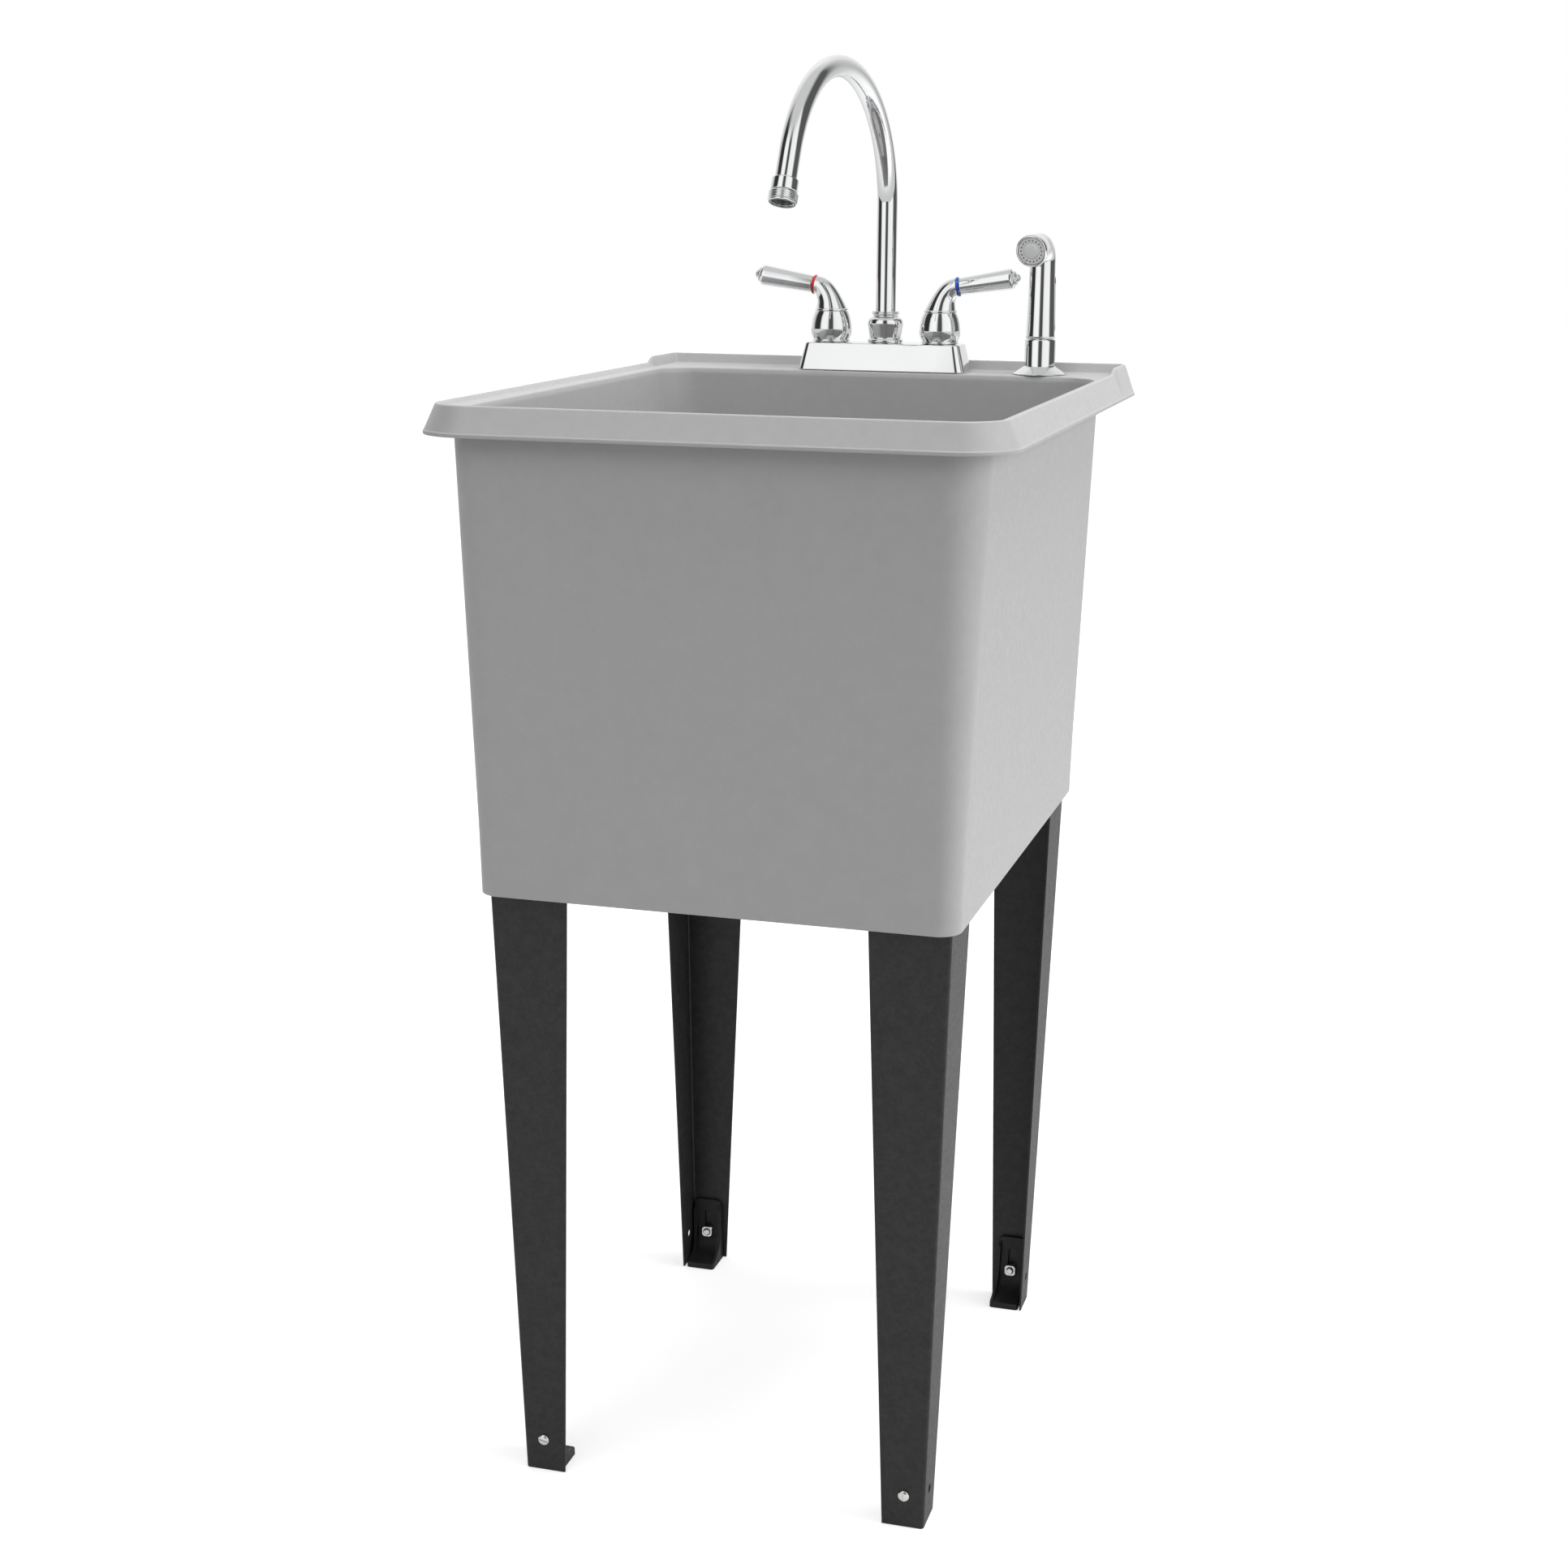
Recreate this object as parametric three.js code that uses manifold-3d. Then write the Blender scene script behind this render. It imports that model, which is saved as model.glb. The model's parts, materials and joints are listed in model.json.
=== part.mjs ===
// Free-standing utility laundry sink: moulded tub, four angle legs with levelling feet, drain,
// two-handle gooseneck tap and side sprayer.
// Millimetres, +Z up, the front faces -Y. The origin is on the floor under the middle of the rim.
import * as THREE from "three";
import { mergeVertices } from "three/addons/utils/BufferGeometryUtils.js";
import Module from "manifold-3d";

const wasm = await Module();
wasm.setup();

// ---------------------------------------------------------------- driving dimensions

const GAP = 0.3; // running gap between pieces that touch
const BOLT_GAP = 0.5; // radial play of a bolt in its hole

// rim
const RIM_WIDTH = 451;
const RIM_DEPTH = 591;
const RIM_HEIGHT = 876; // flat top of the rim above the floor
const RIM_APRON = 23; // height of the turned-down edge
const RIM_FLARE = 9.5; // how far the turned-down edge leans out
const RIM_WALL = 3.5;
const RIM_TOP_WIDTH = 2.5; // flat crest of the rim
const RIM_FRONT_RADIUS = 45; // corner radii of the rim in plan, at its lower edge
const RIM_BACK_RADIUS = 16;
const BEAD_HEIGHT = 2.6; // fine bead along the lower edge of the rim
const BEAD_DEPTH = 0.9;
const SHELF_DROP = 4.5; // shelf and tap deck below the crest of the rim
const LIP_RISE = 5; // raised lip behind the tap deck
const LIP_LENGTH = 87.5; // from the back of the rim to where the lip starts to rise on the side rims
const LIP_RAMP = 22;

// tub
const WALL = 3.8;
const SIDE_OVERHANG = 21; // rim edge to tub wall, at the top of the wall
const FRONT_OVERHANG = 17.3;
const DECK_OVERHANG = 61.5;
const TUB_HEIGHT = 377; // rim top to lower edge of the skirt
const SKIRT_HEIGHT = 53; // below the knee line, where the draft ends
const SIDE_DRAFT = 13.2; // how far each wall leans in from its top to the knee line
const FRONT_DRAFT = 12.4;
const BACK_DRAFT = 4;
const SKIRT_DRAFT = 1.1;
const TUB_TOP_RADIUS = 33;
const TUB_KNEE_RADIUS = 18;
const BOWL_EXTRA_RADIUS = 6; // the bowl's inner corners are rounder than the outer ones
const FLOOR_THICKNESS = 4.5;
const FLOOR_FALL = 4; // the bowl floor falls this much to the drain
const FLOOR_FILLET = 18;
const RIB_DEPTH = 18; // stiffening ribs under the bowl floor
const RIB_THICKNESS = 3;
const RIB_SPREAD_X = 78;
const RIB_SPREAD_Y = 105;
const POCKET_DEPTH = 34; // ribs that hold the leg tops
const POCKET_LENGTH = 50;
const POCKET_GAP = 1.2;

// legs and feet
const LEG_SHEET = 1.5;
const LEG_BEND_RADIUS = 3;
const LEG_TOE_WIDTH = 34; // width of each flange at the floor
const LEG_HEAD_WIDTH = 67; // width of each flange at the tub
const LEG_CLEARANCE = 3; // lower end of a leg above the floor
const LEG_SIDE_GAP = 2.83; // from the inside of the skirt's lower edge to a leg
const LEG_FRONT_GAP = 9.13;
const LEG_BACK_GAP = 5.63;
const LEG_SPLAY_X = 15.07; // how far a leg leans out between the floor and the skirt
const LEG_SPLAY_Y = 15.47;
const BOLT_HEIGHT = 28; // bolt and open hole above the floor
const BOLT_INSET = 17; // from the corner of the leg
const BOLT_RADIUS = 3;
const BOLT_HEAD_RADIUS = 4.7;
const BOLT_HEAD_HEIGHT = 2.4;
const NUT_SIZE = 10;
const NUT_THICKNESS = 5;
const BOLT_TAIL = 2.5; // thread that shows behind the nut
const FOOT_WIDTH = 27.4;
const FOOT_HEIGHT = 60;
const FOOT_PLATE = 3;
const FOOT_REACH = 32; // base plate, from the leg inwards
const FOOT_BASE = 5.5;
const FOOT_RIB = 2.6; // raised edges of the foot
const FOOT_RIB_RISE = 2.4;
const FOOT_TRAVEL = 18; // how far a foot can be let down

// drain
const DRAIN_HOLE_RADIUS = 24;
const DRAIN_FLANGE_RADIUS = 33;
const DRAIN_FLANGE_THICKNESS = 2.4;
const DRAIN_BORE_RADIUS = 19;
const DRAIN_LENGTH = 36;
const DRAIN_NUT_RADIUS = 31;
const DRAIN_NUT_HEIGHT = 9;
const GASKET_THICKNESS = 2;
const STOPPER_LIP = 3;

// tap
const TAP_INSET = 42; // from the back of the rim to the axis of spout and handles
const HANDLE_SPACING = 101.6;
const DECK_HOLE_RADIUS = 13;
const COVER_LENGTH = 155;
const COVER_DEPTH = 43;
const COVER_HEIGHT = 25;
const COVER_TAPER_X = 6;
const COVER_TAPER_Y = 4;
const COVER_WALL = 2.2;
const COVER_RADIUS = 8;
const SHANK_RADIUS = 10.2;
const SHANK_LENGTH = 52; // below the deck
const SHANK_BORE_RADIUS = 6;
const SHANK_BORE_DEPTH = 44;
const NIPPLE_RADIUS = 7;
const NIPPLE_LENGTH = 34;
const SHANK_NUT_RADIUS = 15;
const SHANK_NUT_HEIGHT = 11;
const BONNET_HEIGHT = 28;
const BONNET_RADIUS = 18.6;
const BONNET_FOOT_RADIUS = 16.4;
const BONNET_TOP_RADIUS = 14.6;
const BONNET_WALL = 2;
const VALVE_RADIUS = 9.5; // valve seat that stands up inside a bonnet
const VALVE_HEIGHT = 12;
const STEM_RADIUS = 6;
const STEM_SOCKET = 14;
const STEM_RISE = 11; // stem above the seam of the handle
const RING_REACH = 15; // index ring, from the handle axis
const RING_RISE = 22.5; // and above the seam
const RING_RADIUS = 8.8;
const RING_THICKNESS = 2;
const LEVER_LENGTH = 56;
const LEVER_START_RADIUS = 7.5;
const LEVER_END_RADIUS = 9.3;
const LEVER_TILT = 9; // degrees above level
const COLLAR_HEIGHT = 28;
const COLLAR_RADIUS = 16;

// spout
const SPOUT_RADIUS = 9.2;
const SPOUT_BORE_RADIUS = 7.4;
const SPOUT_SOCKET = 14; // how deep the tube sits in the tap body
const ARCH_RADIUS = 115;
const ARCH_START = 146.5; // above the deck
const ARCH_SWEEP = 159; // degrees
const SPOUT_END = 22; // straight end of the tube
const SPOUT_TURN = 7.2; // degrees to the left of straight ahead, as it stands
const OUTLET_RADIUS = 11.2;
const OUTLET_LENGTH = 10.5;
const OUTLET_OVERLAP = 5; // tube inside the outlet collar
const AERATOR_RADIUS = 12.3;
const AERATOR_LENGTH = 9.5;
const AERATOR_BORE_RADIUS = 9;
const SCREEN_THICKNESS = 1.6;

// side sprayer
const SPRAY_X = 143; // from the axis of the spout to the sprayer's
const SPRAY_TURN = 7.5; // degrees to the left of straight ahead, as it stands
const SPRAY_HOLE_RADIUS = 13.5;
const HOLDER_FLANGE_RADIUS = 24.2;
const HOLDER_CONE_HEIGHT = 6.5;
const HOLDER_RADIUS = 13.9;
const HOLDER_HEIGHT = 31.5;
const HOLDER_SHANK_RADIUS = 12.4;
const HOLDER_SHANK_LENGTH = 24;
const HOLDER_NUT_RADIUS = 17;
const HOLDER_NUT_HEIGHT = 8;
const SPRAY_STEM_RADIUS = 8;
const SPRAY_STEM_LENGTH = 62;
const SPRAY_FOOT_RADIUS = 13;
const SPRAY_WAIST_RADIUS = 11.6;
const SPRAY_RISE = 100; // where the neck starts to bend, above the deck
const SPRAY_NECK_RADIUS = 12.5;
const SPRAY_NECK_SWEEP = 104; // degrees
const SPRAY_HEAD_LENGTH = 15;
const SPRAY_HEAD_RADIUS = 14.3;
const FACE_RADIUS = 12;
const FACE_DEPTH = 3.2;
const HEAD_RING_LENGTH = 4.5;
const TRIGGER_TOP = 88; // above the deck
const TRIGGER_LENGTH = 52;
const TRIGGER_RADIUS = 12;
const TRIGGER_SHEET = 1.8;
const TRIGGER_SPAN = 70; // degrees to each side of the back
const TRIGGER_STANDOFF = 3.5; // degrees, lower end outwards
const TRIGGER_PIN_RADIUS = 1.3;
const TRIGGER_PIN_Y = 6.5; // behind the axis of the sprayer
const TRIGGER_PIN_RISE = 3; // above the top of the trigger's blade
const TRIGGER_PIN_LENGTH = 16;
const TRIGGER_LUG_WIDTH = 9;

// facets
const CORNER_STEPS = 5; // steps in each rounded corner of the tub
const FINE = 20; // sides of the drain and the sprayer's holder
const ROUND = 16; // sides of other turned pieces
const COARSE = 12; // sides of small and hidden ones

// ---------------------------------------------------------------- derived levels

const CREST = RIM_HEIGHT;
const DECK = CREST - SHELF_DROP;
const DECK_UNDERSIDE = DECK - RIM_WALL;
const SKIRT_BOTTOM = RIM_HEIGHT - TUB_HEIGHT;
const KNEE = SKIRT_BOTTOM + SKIRT_HEIGHT;
const FLOOR_EDGE = KNEE + FLOOR_THICKNESS;
const FLOOR_LOW = FLOOR_EDGE - FLOOR_FALL;
const LEG_TOP = KNEE - FLOOR_THICKNESS / 4 - GAP;
const DRAIN_Y = (FRONT_OVERHANG + FRONT_DRAFT - DECK_OVERHANG - BACK_DRAFT) / 2; // middle of the bowl floor
const TAP_Y = RIM_DEPTH / 2 - TAP_INSET;
const LIP_START = RIM_DEPTH / 2 - LIP_LENGTH;
const SPOUT_FOOT = COVER_HEIGHT + 3 - SPOUT_SOCKET + GAP; // lower end of the tube, above the deck
const PIN_HEIGHT = TRIGGER_TOP + TRIGGER_PIN_RISE; // above the deck

// inside of the skirt's lower edge, and the outer corners of the legs' toes under it
const SKIRT_INSET = SKIRT_DRAFT + WALL;
const SKIRT_SIDE = RIM_WIDTH / 2 - SIDE_OVERHANG - SIDE_DRAFT - SKIRT_INSET;
const SKIRT_FRONT = RIM_DEPTH / 2 - FRONT_OVERHANG - FRONT_DRAFT - SKIRT_INSET;
const SKIRT_BACK = RIM_DEPTH / 2 - DECK_OVERHANG - BACK_DRAFT - SKIRT_INSET;
const LEG_TOE_X = SKIRT_SIDE - LEG_SIDE_GAP - LEG_SPLAY_X;
const LEG_TOE_FRONT = SKIRT_FRONT - LEG_FRONT_GAP - LEG_SPLAY_Y;
const LEG_TOE_BACK = SKIRT_BACK - LEG_BACK_GAP - LEG_SPLAY_Y;
const LEG_LEAN_X = LEG_SPLAY_X / SKIRT_BOTTOM; // per millimetre of height
const LEG_LEAN_Y = LEG_SPLAY_Y / SKIRT_BOTTOM;

// ---------------------------------------------------------------- materials

const colours = {
  tub: [0x9b9b9c, 0.55, 0],
  leg: [0x2b2b2c, 0.5, 0.3],
  foot: [0x1c1c1d, 0.6, 0],
  zinc: [0xc9c9c6, 0.35, 0.9],
  chrome: [0xdedfe0, 0.08, 1],
  brass: [0xb08d4a, 0.35, 0.9],
  rubber: [0x222222, 0.8, 0],
  nylon: [0xe6e4dc, 0.5, 0],
  red: [0xc8282c, 0.4, 0],
  blue: [0x1f4fb8, 0.4, 0],
  face: [0x9da19f, 0.5, 0],
  screen: [0x3a3a3a, 0.6, 0.2],
};

function material(name) {
  const [color, roughness, metalness] = colours[name];
  return new THREE.MeshStandardMaterial({ color, roughness, metalness });
}

// ---------------------------------------------------------------- geometry helpers

const radians = THREE.MathUtils.degToRad;

// A closed geometry as a solid with shared corners, its faces turned outwards.
function solid(geometry) {
  const bare = geometry.index ? geometry.toNonIndexed() : geometry.clone();
  bare.deleteAttribute("normal");
  bare.deleteAttribute("uv");
  const merged = mergeVertices(bare, 1e-4);
  const corners = merged.attributes.position.array;
  const triVerts = new Uint32Array(merged.index.array);
  if (signedVolume(corners, triVerts) < 0) triVerts.reverse();
  return new wasm.Manifold(new wasm.Mesh({ numProp: 3, vertProperties: corners, triVerts }));
}

function signedVolume(corners, triangles) {
  const [a, b, c] = [new THREE.Vector3(), new THREE.Vector3(), new THREE.Vector3()];
  let sum = 0;
  for (let i = 0; i < triangles.length; i += 3) {
    a.fromArray(corners, 3 * triangles[i]);
    b.fromArray(corners, 3 * triangles[i + 1]);
    c.fromArray(corners, 3 * triangles[i + 2]);
    sum += a.dot(b.cross(c));
  }
  return sum;
}

function geometryOf(body) {
  const { vertProperties, triVerts } = body.getMesh();
  const geometry = new THREE.BufferGeometry();
  geometry.setAttribute("position", new THREE.BufferAttribute(vertProperties, 3));
  geometry.setIndex(new THREE.BufferAttribute(triVerts, 1));
  const flat = geometry.toNonIndexed();
  flat.computeVertexNormals();
  return flat;
}

function piece(name, body, look) {
  const mesh = new THREE.Mesh(geometryOf(body), material(look));
  mesh.name = name;
  return mesh;
}

function joined(first, ...others) {
  return others.reduce((sum, other) => sum.add(other), first);
}

function cut(body, ...tools) {
  return tools.reduce((rest, tool) => rest.subtract(tool), body);
}

// A solid of revolution about Z. The profile is [radius, z] pairs; one that stays off the axis is a ring.
function revolve(profile, sides = ROUND) {
  const points = profile.map(([r, z]) => new THREE.Vector2(r, z));
  const ring = profile[0][0] > 0 || profile[profile.length - 1][0] > 0;
  if (ring) points.push(points[0].clone());
  return solid(new THREE.LatheGeometry(points, sides).rotateX(Math.PI / 2));
}

function disc(radius, from, to, sides = ROUND) {
  return discAt(0, 0, radius, from, to, sides);
}

// An upright cylinder whose axis stands on a point.
function discAt(x, y, radius, from, to, sides = ROUND) {
  const height = to - from;
  const geometry = new THREE.CylinderGeometry(radius, radius, height, sides);
  return solid(geometry.rotateX(Math.PI / 2).translate(x, y, from + height / 2));
}

function box([x0, x1], [y0, y1], [z0, z1]) {
  const geometry = new THREE.BoxGeometry(x1 - x0, y1 - y0, z1 - z0);
  return solid(geometry.translate((x0 + x1) / 2, (y0 + y1) / 2, (z0 + z1) / 2));
}

// Joins rings with the same number of points, and closes the ends or, for a loop, the last ring to the first.
function loft(rings, { loop = false } = {}) {
  const count = rings[0].length;
  const position = rings.flatMap((ring) => ring.flatMap((p) => [p.x, p.y, p.z]));
  const index = [];
  const last = loop ? rings.length : rings.length - 1;
  for (let j = 0; j < last; j++) {
    const [low, high] = [j * count, ((j + 1) % rings.length) * count];
    for (let i = 0; i < count; i++) {
      const next = (i + 1) % count;
      index.push(low + i, low + next, high + next, low + i, high + next, high + i);
    }
  }
  if (!loop) {
    for (const [a, b, c] of capOf(rings[0])) index.push(c, b, a);
    const top = (rings.length - 1) * count;
    for (const [a, b, c] of capOf(rings[rings.length - 1])) index.push(top + a, top + b, top + c);
  }
  const geometry = new THREE.BufferGeometry();
  geometry.setAttribute("position", new THREE.Float32BufferAttribute(position, 3));
  geometry.setIndex(index);
  return geometry;
}

// Triangles that fill a flat ring, turned the same way round as the ring.
function capOf(ring) {
  const normal = new THREE.Vector3();
  const centre = ring.reduce((sum, p) => sum.add(p), new THREE.Vector3()).divideScalar(ring.length);
  ring.forEach((p, i) => {
    const next = ring[(i + 1) % ring.length];
    normal.add(p.clone().sub(centre).cross(next.clone().sub(centre)));
  });
  const upright = new THREE.Quaternion().setFromUnitVectors(normal.normalize(), new THREE.Vector3(0, 0, 1));
  const flat = ring.map((p) => p.clone().sub(centre).applyQuaternion(upright));
  return THREE.ShapeUtils.triangulateShape(flat.map((p) => new THREE.Vector2(p.x, p.y)), []);
}

// Circles along a bent line in the XZ plane: each station has x, z, tilt from +Z towards +X, and a radius.
function bentRings(stations, sides) {
  return stations.map(({ x, z, tilt, radius }) => {
    const angle = radians(tilt);
    const along = new THREE.Vector3(Math.cos(angle), 0, -Math.sin(angle));
    const across = new THREE.Vector3(0, 1, 0);
    return Array.from({ length: sides }, (_, i) => {
      const turn = (2 * Math.PI * i) / sides;
      return new THREE.Vector3(x, 0, z)
        .addScaledVector(along, radius * Math.cos(turn))
        .addScaledVector(across, radius * Math.sin(turn));
    });
  });
}

// A rectangle with rounded corners, centred on the origin.
function roundedShape(width, depth, radius) {
  const [x, y] = [width / 2, depth / 2];
  const shape = new THREE.Shape();
  shape.moveTo(x - radius, -y);
  shape.absarc(x - radius, -y + radius, radius, -Math.PI / 2, 0, false);
  shape.absarc(x - radius, y - radius, radius, 0, Math.PI / 2, false);
  shape.absarc(-x + radius, y - radius, radius, Math.PI / 2, Math.PI, false);
  shape.absarc(-x + radius, -y + radius, radius, Math.PI, 1.5 * Math.PI, false);
  return shape;
}

function roundedRing(width, depth, radius, z, steps = 4) {
  const points = roundedShape(width, depth, radius).getPoints(steps);
  return points.slice(0, -1).map((p) => new THREE.Vector3(p.x, p.y, z));
}

// ---------------------------------------------------------------- tub

// Every outline has points along its sides for the rise of the lip, at these distances from the back corner.
const cornerStart = RIM_DEPTH / 2 - RIM_BACK_RADIUS;
const LIP_STATIONS = [0, 0.3, 0.65, 1].map((share) => cornerStart - LIP_START - share * LIP_RAMP);

// A rounded outline of the tub. side, front and back are distances from the origin; z may depend on y.
function outline({ side, front, back, frontRadius, backRadius, z }) {
  const height = typeof z === "function" ? z : () => z;
  const points = [];
  const corner = (x, y, radius, from) => {
    for (let i = 0; i <= CORNER_STEPS; i++) {
      const angle = radians(from + (90 * i) / CORNER_STEPS);
      points.push([x + radius * Math.cos(angle), y + radius * Math.sin(angle)]);
    }
  };
  corner(side - frontRadius, frontRadius - front, frontRadius, -90);
  for (const station of LIP_STATIONS) points.push([side, back - backRadius - station]);
  corner(side - backRadius, back - backRadius, backRadius, 0);
  corner(backRadius - side, back - backRadius, backRadius, 90);
  for (const station of [...LIP_STATIONS].reverse()) points.push([-side, back - backRadius - station]);
  corner(frontRadius - side, frontRadius - front, frontRadius, 180);
  return points.map(([x, y]) => new THREE.Vector3(x, y, height(y)));
}

// The outer face of the tub wall at a height, inset by a distance.
function wallAt(z, inset = 0, roundness = 0) {
  const top = {
    side: RIM_WIDTH / 2 - SIDE_OVERHANG,
    front: RIM_DEPTH / 2 - FRONT_OVERHANG,
    back: RIM_DEPTH / 2 - DECK_OVERHANG,
  };
  const rise = (z - KNEE) / (DECK_UNDERSIDE - KNEE); // 1 at the top, 0 at the knee line
  const fall = Math.max(0, (KNEE - z) / SKIRT_HEIGHT); // 0 at the knee line, 1 at the lower edge
  const share = 1 - Math.max(0, rise);
  const radius = TUB_TOP_RADIUS + (TUB_KNEE_RADIUS - TUB_TOP_RADIUS) * share;
  return {
    side: top.side - SIDE_DRAFT * share - SKIRT_DRAFT * fall - inset,
    front: top.front - FRONT_DRAFT * share - SKIRT_DRAFT * fall - inset,
    back: top.back - BACK_DRAFT * share - SKIRT_DRAFT * fall - inset,
    frontRadius: radius - inset + roundness,
    backRadius: radius - inset + roundness,
    z,
  };
}

// The outer face of the rim's turned-down edge, inset by a distance.
function rimAt(inset, z) {
  return {
    side: RIM_WIDTH / 2 - inset,
    front: RIM_DEPTH / 2 - inset,
    back: RIM_DEPTH / 2 - inset,
    frontRadius: RIM_FRONT_RADIUS - inset,
    backRadius: Math.max(RIM_BACK_RADIUS - inset, 4),
    z,
  };
}

// How far the crest stands above the rim's height: the lip at the back rises from the side rims.
function lipAt(y) {
  const share = THREE.MathUtils.clamp((y - LIP_START) / LIP_RAMP, 0, 1);
  return LIP_RISE * share * share * (3 - 2 * share);
}

// A circle round the drain with one point for each point of an outline, in the same directions.
function drainCircle(from, radius, z) {
  return from.map((p) => {
    const way = new THREE.Vector2(p.x, p.y - DRAIN_Y).normalize();
    return new THREE.Vector3(radius * way.x, DRAIN_Y + radius * way.y, z);
  });
}

function tubShell() {
  const crest = (drop) => (y) => CREST - drop + lipAt(y);
  const inner = (z, inset = 0) => wallAt(z, WALL + inset, BOWL_EXTRA_RADIUS);
  const shelf = inner(DECK);
  const crestFoot = RIM_FLARE + RIM_TOP_WIDTH + 3; // where the crest comes down to the shelf
  const floorEdge = outline(inner(FLOOR_EDGE, FLOOR_FILLET));
  const floorUnder = outline({ ...wallAt(KNEE, WALL), z: KNEE - FLOOR_THICKNESS / 4 });
  const boss = DRAIN_FLANGE_RADIUS + 4;
  const seat = FLOOR_LOW - DRAIN_FLANGE_THICKNESS;
  const under = seat - FLOOR_THICKNESS;
  const widened = ({ side, front, back, ...rest }, by) => ({
    ...rest,
    side: side + by,
    front: front + by,
    back: back + by,
  });
  const rings = [
    outline(wallAt(SKIRT_BOTTOM)),
    outline(wallAt(KNEE)),
    outline(wallAt(DECK_UNDERSIDE)),
    outline(rimAt(RIM_WALL + RIM_FLARE * 0.75, DECK_UNDERSIDE)),
    outline(rimAt(RIM_WALL, CREST - RIM_APRON)),
    outline(rimAt(0, CREST - RIM_APRON)),
    outline(rimAt(0, CREST - RIM_APRON + BEAD_HEIGHT)),
    outline(rimAt(BEAD_DEPTH, CREST - RIM_APRON + BEAD_HEIGHT + BEAD_DEPTH)),
    outline(rimAt(RIM_FLARE - 0.9, crest(2.6))),
    outline(rimAt(RIM_FLARE, crest(0.8))),
    outline(rimAt(RIM_FLARE + 1.2, crest(0))),
    outline(rimAt(RIM_FLARE + RIM_TOP_WIDTH, crest(0))),
    outline({ ...rimAt(crestFoot, DECK), backRadius: RIM_BACK_RADIUS }),
    outline({ ...widened(shelf, 2.6), z: DECK }),
    outline({ ...widened(shelf, 0.8), z: DECK - 1 }),
    outline(inner(DECK - 4)),
    outline(inner(FLOOR_EDGE + FLOOR_FILLET)),
    outline(inner(FLOOR_EDGE + FLOOR_FILLET * 0.5, FLOOR_FILLET * 0.134)),
    outline(inner(FLOOR_EDGE + FLOOR_FILLET * 0.134, FLOOR_FILLET * 0.5)),
    floorEdge,
    drainCircle(floorEdge, boss, FLOOR_LOW),
    drainCircle(floorEdge, DRAIN_HOLE_RADIUS / 2, FLOOR_LOW),
    drainCircle(floorEdge, DRAIN_HOLE_RADIUS / 2, under),
    drainCircle(floorEdge, boss, under),
    floorUnder,
    outline(wallAt(SKIRT_BOTTOM, WALL)),
  ];
  return cut(
    solid(loft(rings, { loop: true })),
    discAt(0, DRAIN_Y, DRAIN_FLANGE_RADIUS + GAP, seat, FLOOR_LOW + 5, FINE),
    discAt(0, DRAIN_Y, DRAIN_HOLE_RADIUS + GAP, under - 5, FLOOR_LOW, FINE),
  );
}

// Ribs under the bowl floor: two each way, from skirt to skirt.
function floorRibs() {
  const wall = wallAt(KNEE, WALL / 2);
  const span = [KNEE - RIB_DEPTH, KNEE + FLOOR_THICKNESS / 8];
  const half = RIB_THICKNESS / 2;
  const ribs = [];
  for (const sign of [-1, 1]) {
    const x = sign * RIB_SPREAD_X;
    const y = DRAIN_Y + sign * RIB_SPREAD_Y;
    ribs.push(box([x - half, x + half], [-wall.front, wall.back], span));
    ribs.push(box([-wall.side, wall.side], [y - half, y + half], span));
  }
  return ribs;
}

// Two short ribs inside each leg, parallel to its flanges, that locate its head.
function legPocket(signX, signY) {
  const low = LEG_TOP - POCKET_DEPTH;
  const toeY = signY < 0 ? LEG_TOE_FRONT : LEG_TOE_BACK;
  const x = LEG_TOE_X + LEG_LEAN_X * low - LEG_SHEET - POCKET_GAP;
  const y = toeY + LEG_LEAN_Y * low - LEG_SHEET - POCKET_GAP;
  const height = [low, KNEE + FLOOR_THICKNESS / 8];
  const inwards = (sign, from, length) => [sign * from, sign * (from - length)].sort((a, b) => a - b);
  return joined(
    box(inwards(signX, x, POCKET_LENGTH), inwards(signY, y, RIB_THICKNESS), height),
    box(inwards(signX, x, RIB_THICKNESS), inwards(signY, y, POCKET_LENGTH), height),
  );
}

function tub() {
  let body = joined(tubShell(), ...floorRibs());
  for (const signX of [-1, 1]) for (const signY of [-1, 1]) body = body.add(legPocket(signX, signY));
  const holes = [-HANDLE_SPACING / 2, 0, HANDLE_SPACING / 2].map((x) =>
    discAt(x, TAP_Y, DECK_HOLE_RADIUS, DECK_UNDERSIDE - 5, DECK + 5, COARSE),
  );
  holes.push(discAt(SPRAY_X, TAP_Y, SPRAY_HOLE_RADIUS, DECK_UNDERSIDE - 5, DECK + 5, COARSE));
  return piece("tub", cut(body, ...holes), "tub");
}

// ---------------------------------------------------------------- legs and feet
// A leg is built for the front right corner: its outer corner stands on the group's origin, one flange runs
// to -X and faces the front, the other runs to +Y and faces the side. The other corners mirror it.

const lean = new THREE.Matrix4().set(1, 0, LEG_LEAN_X, 0, 0, 1, -LEG_LEAN_Y, 0, 0, 0, 1, 0, 0, 0, 0, 1);

function flangeWidth(z) {
  return LEG_TOE_WIDTH + ((LEG_HEAD_WIDTH - LEG_TOE_WIDTH) * z) / LEG_TOP;
}

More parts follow.
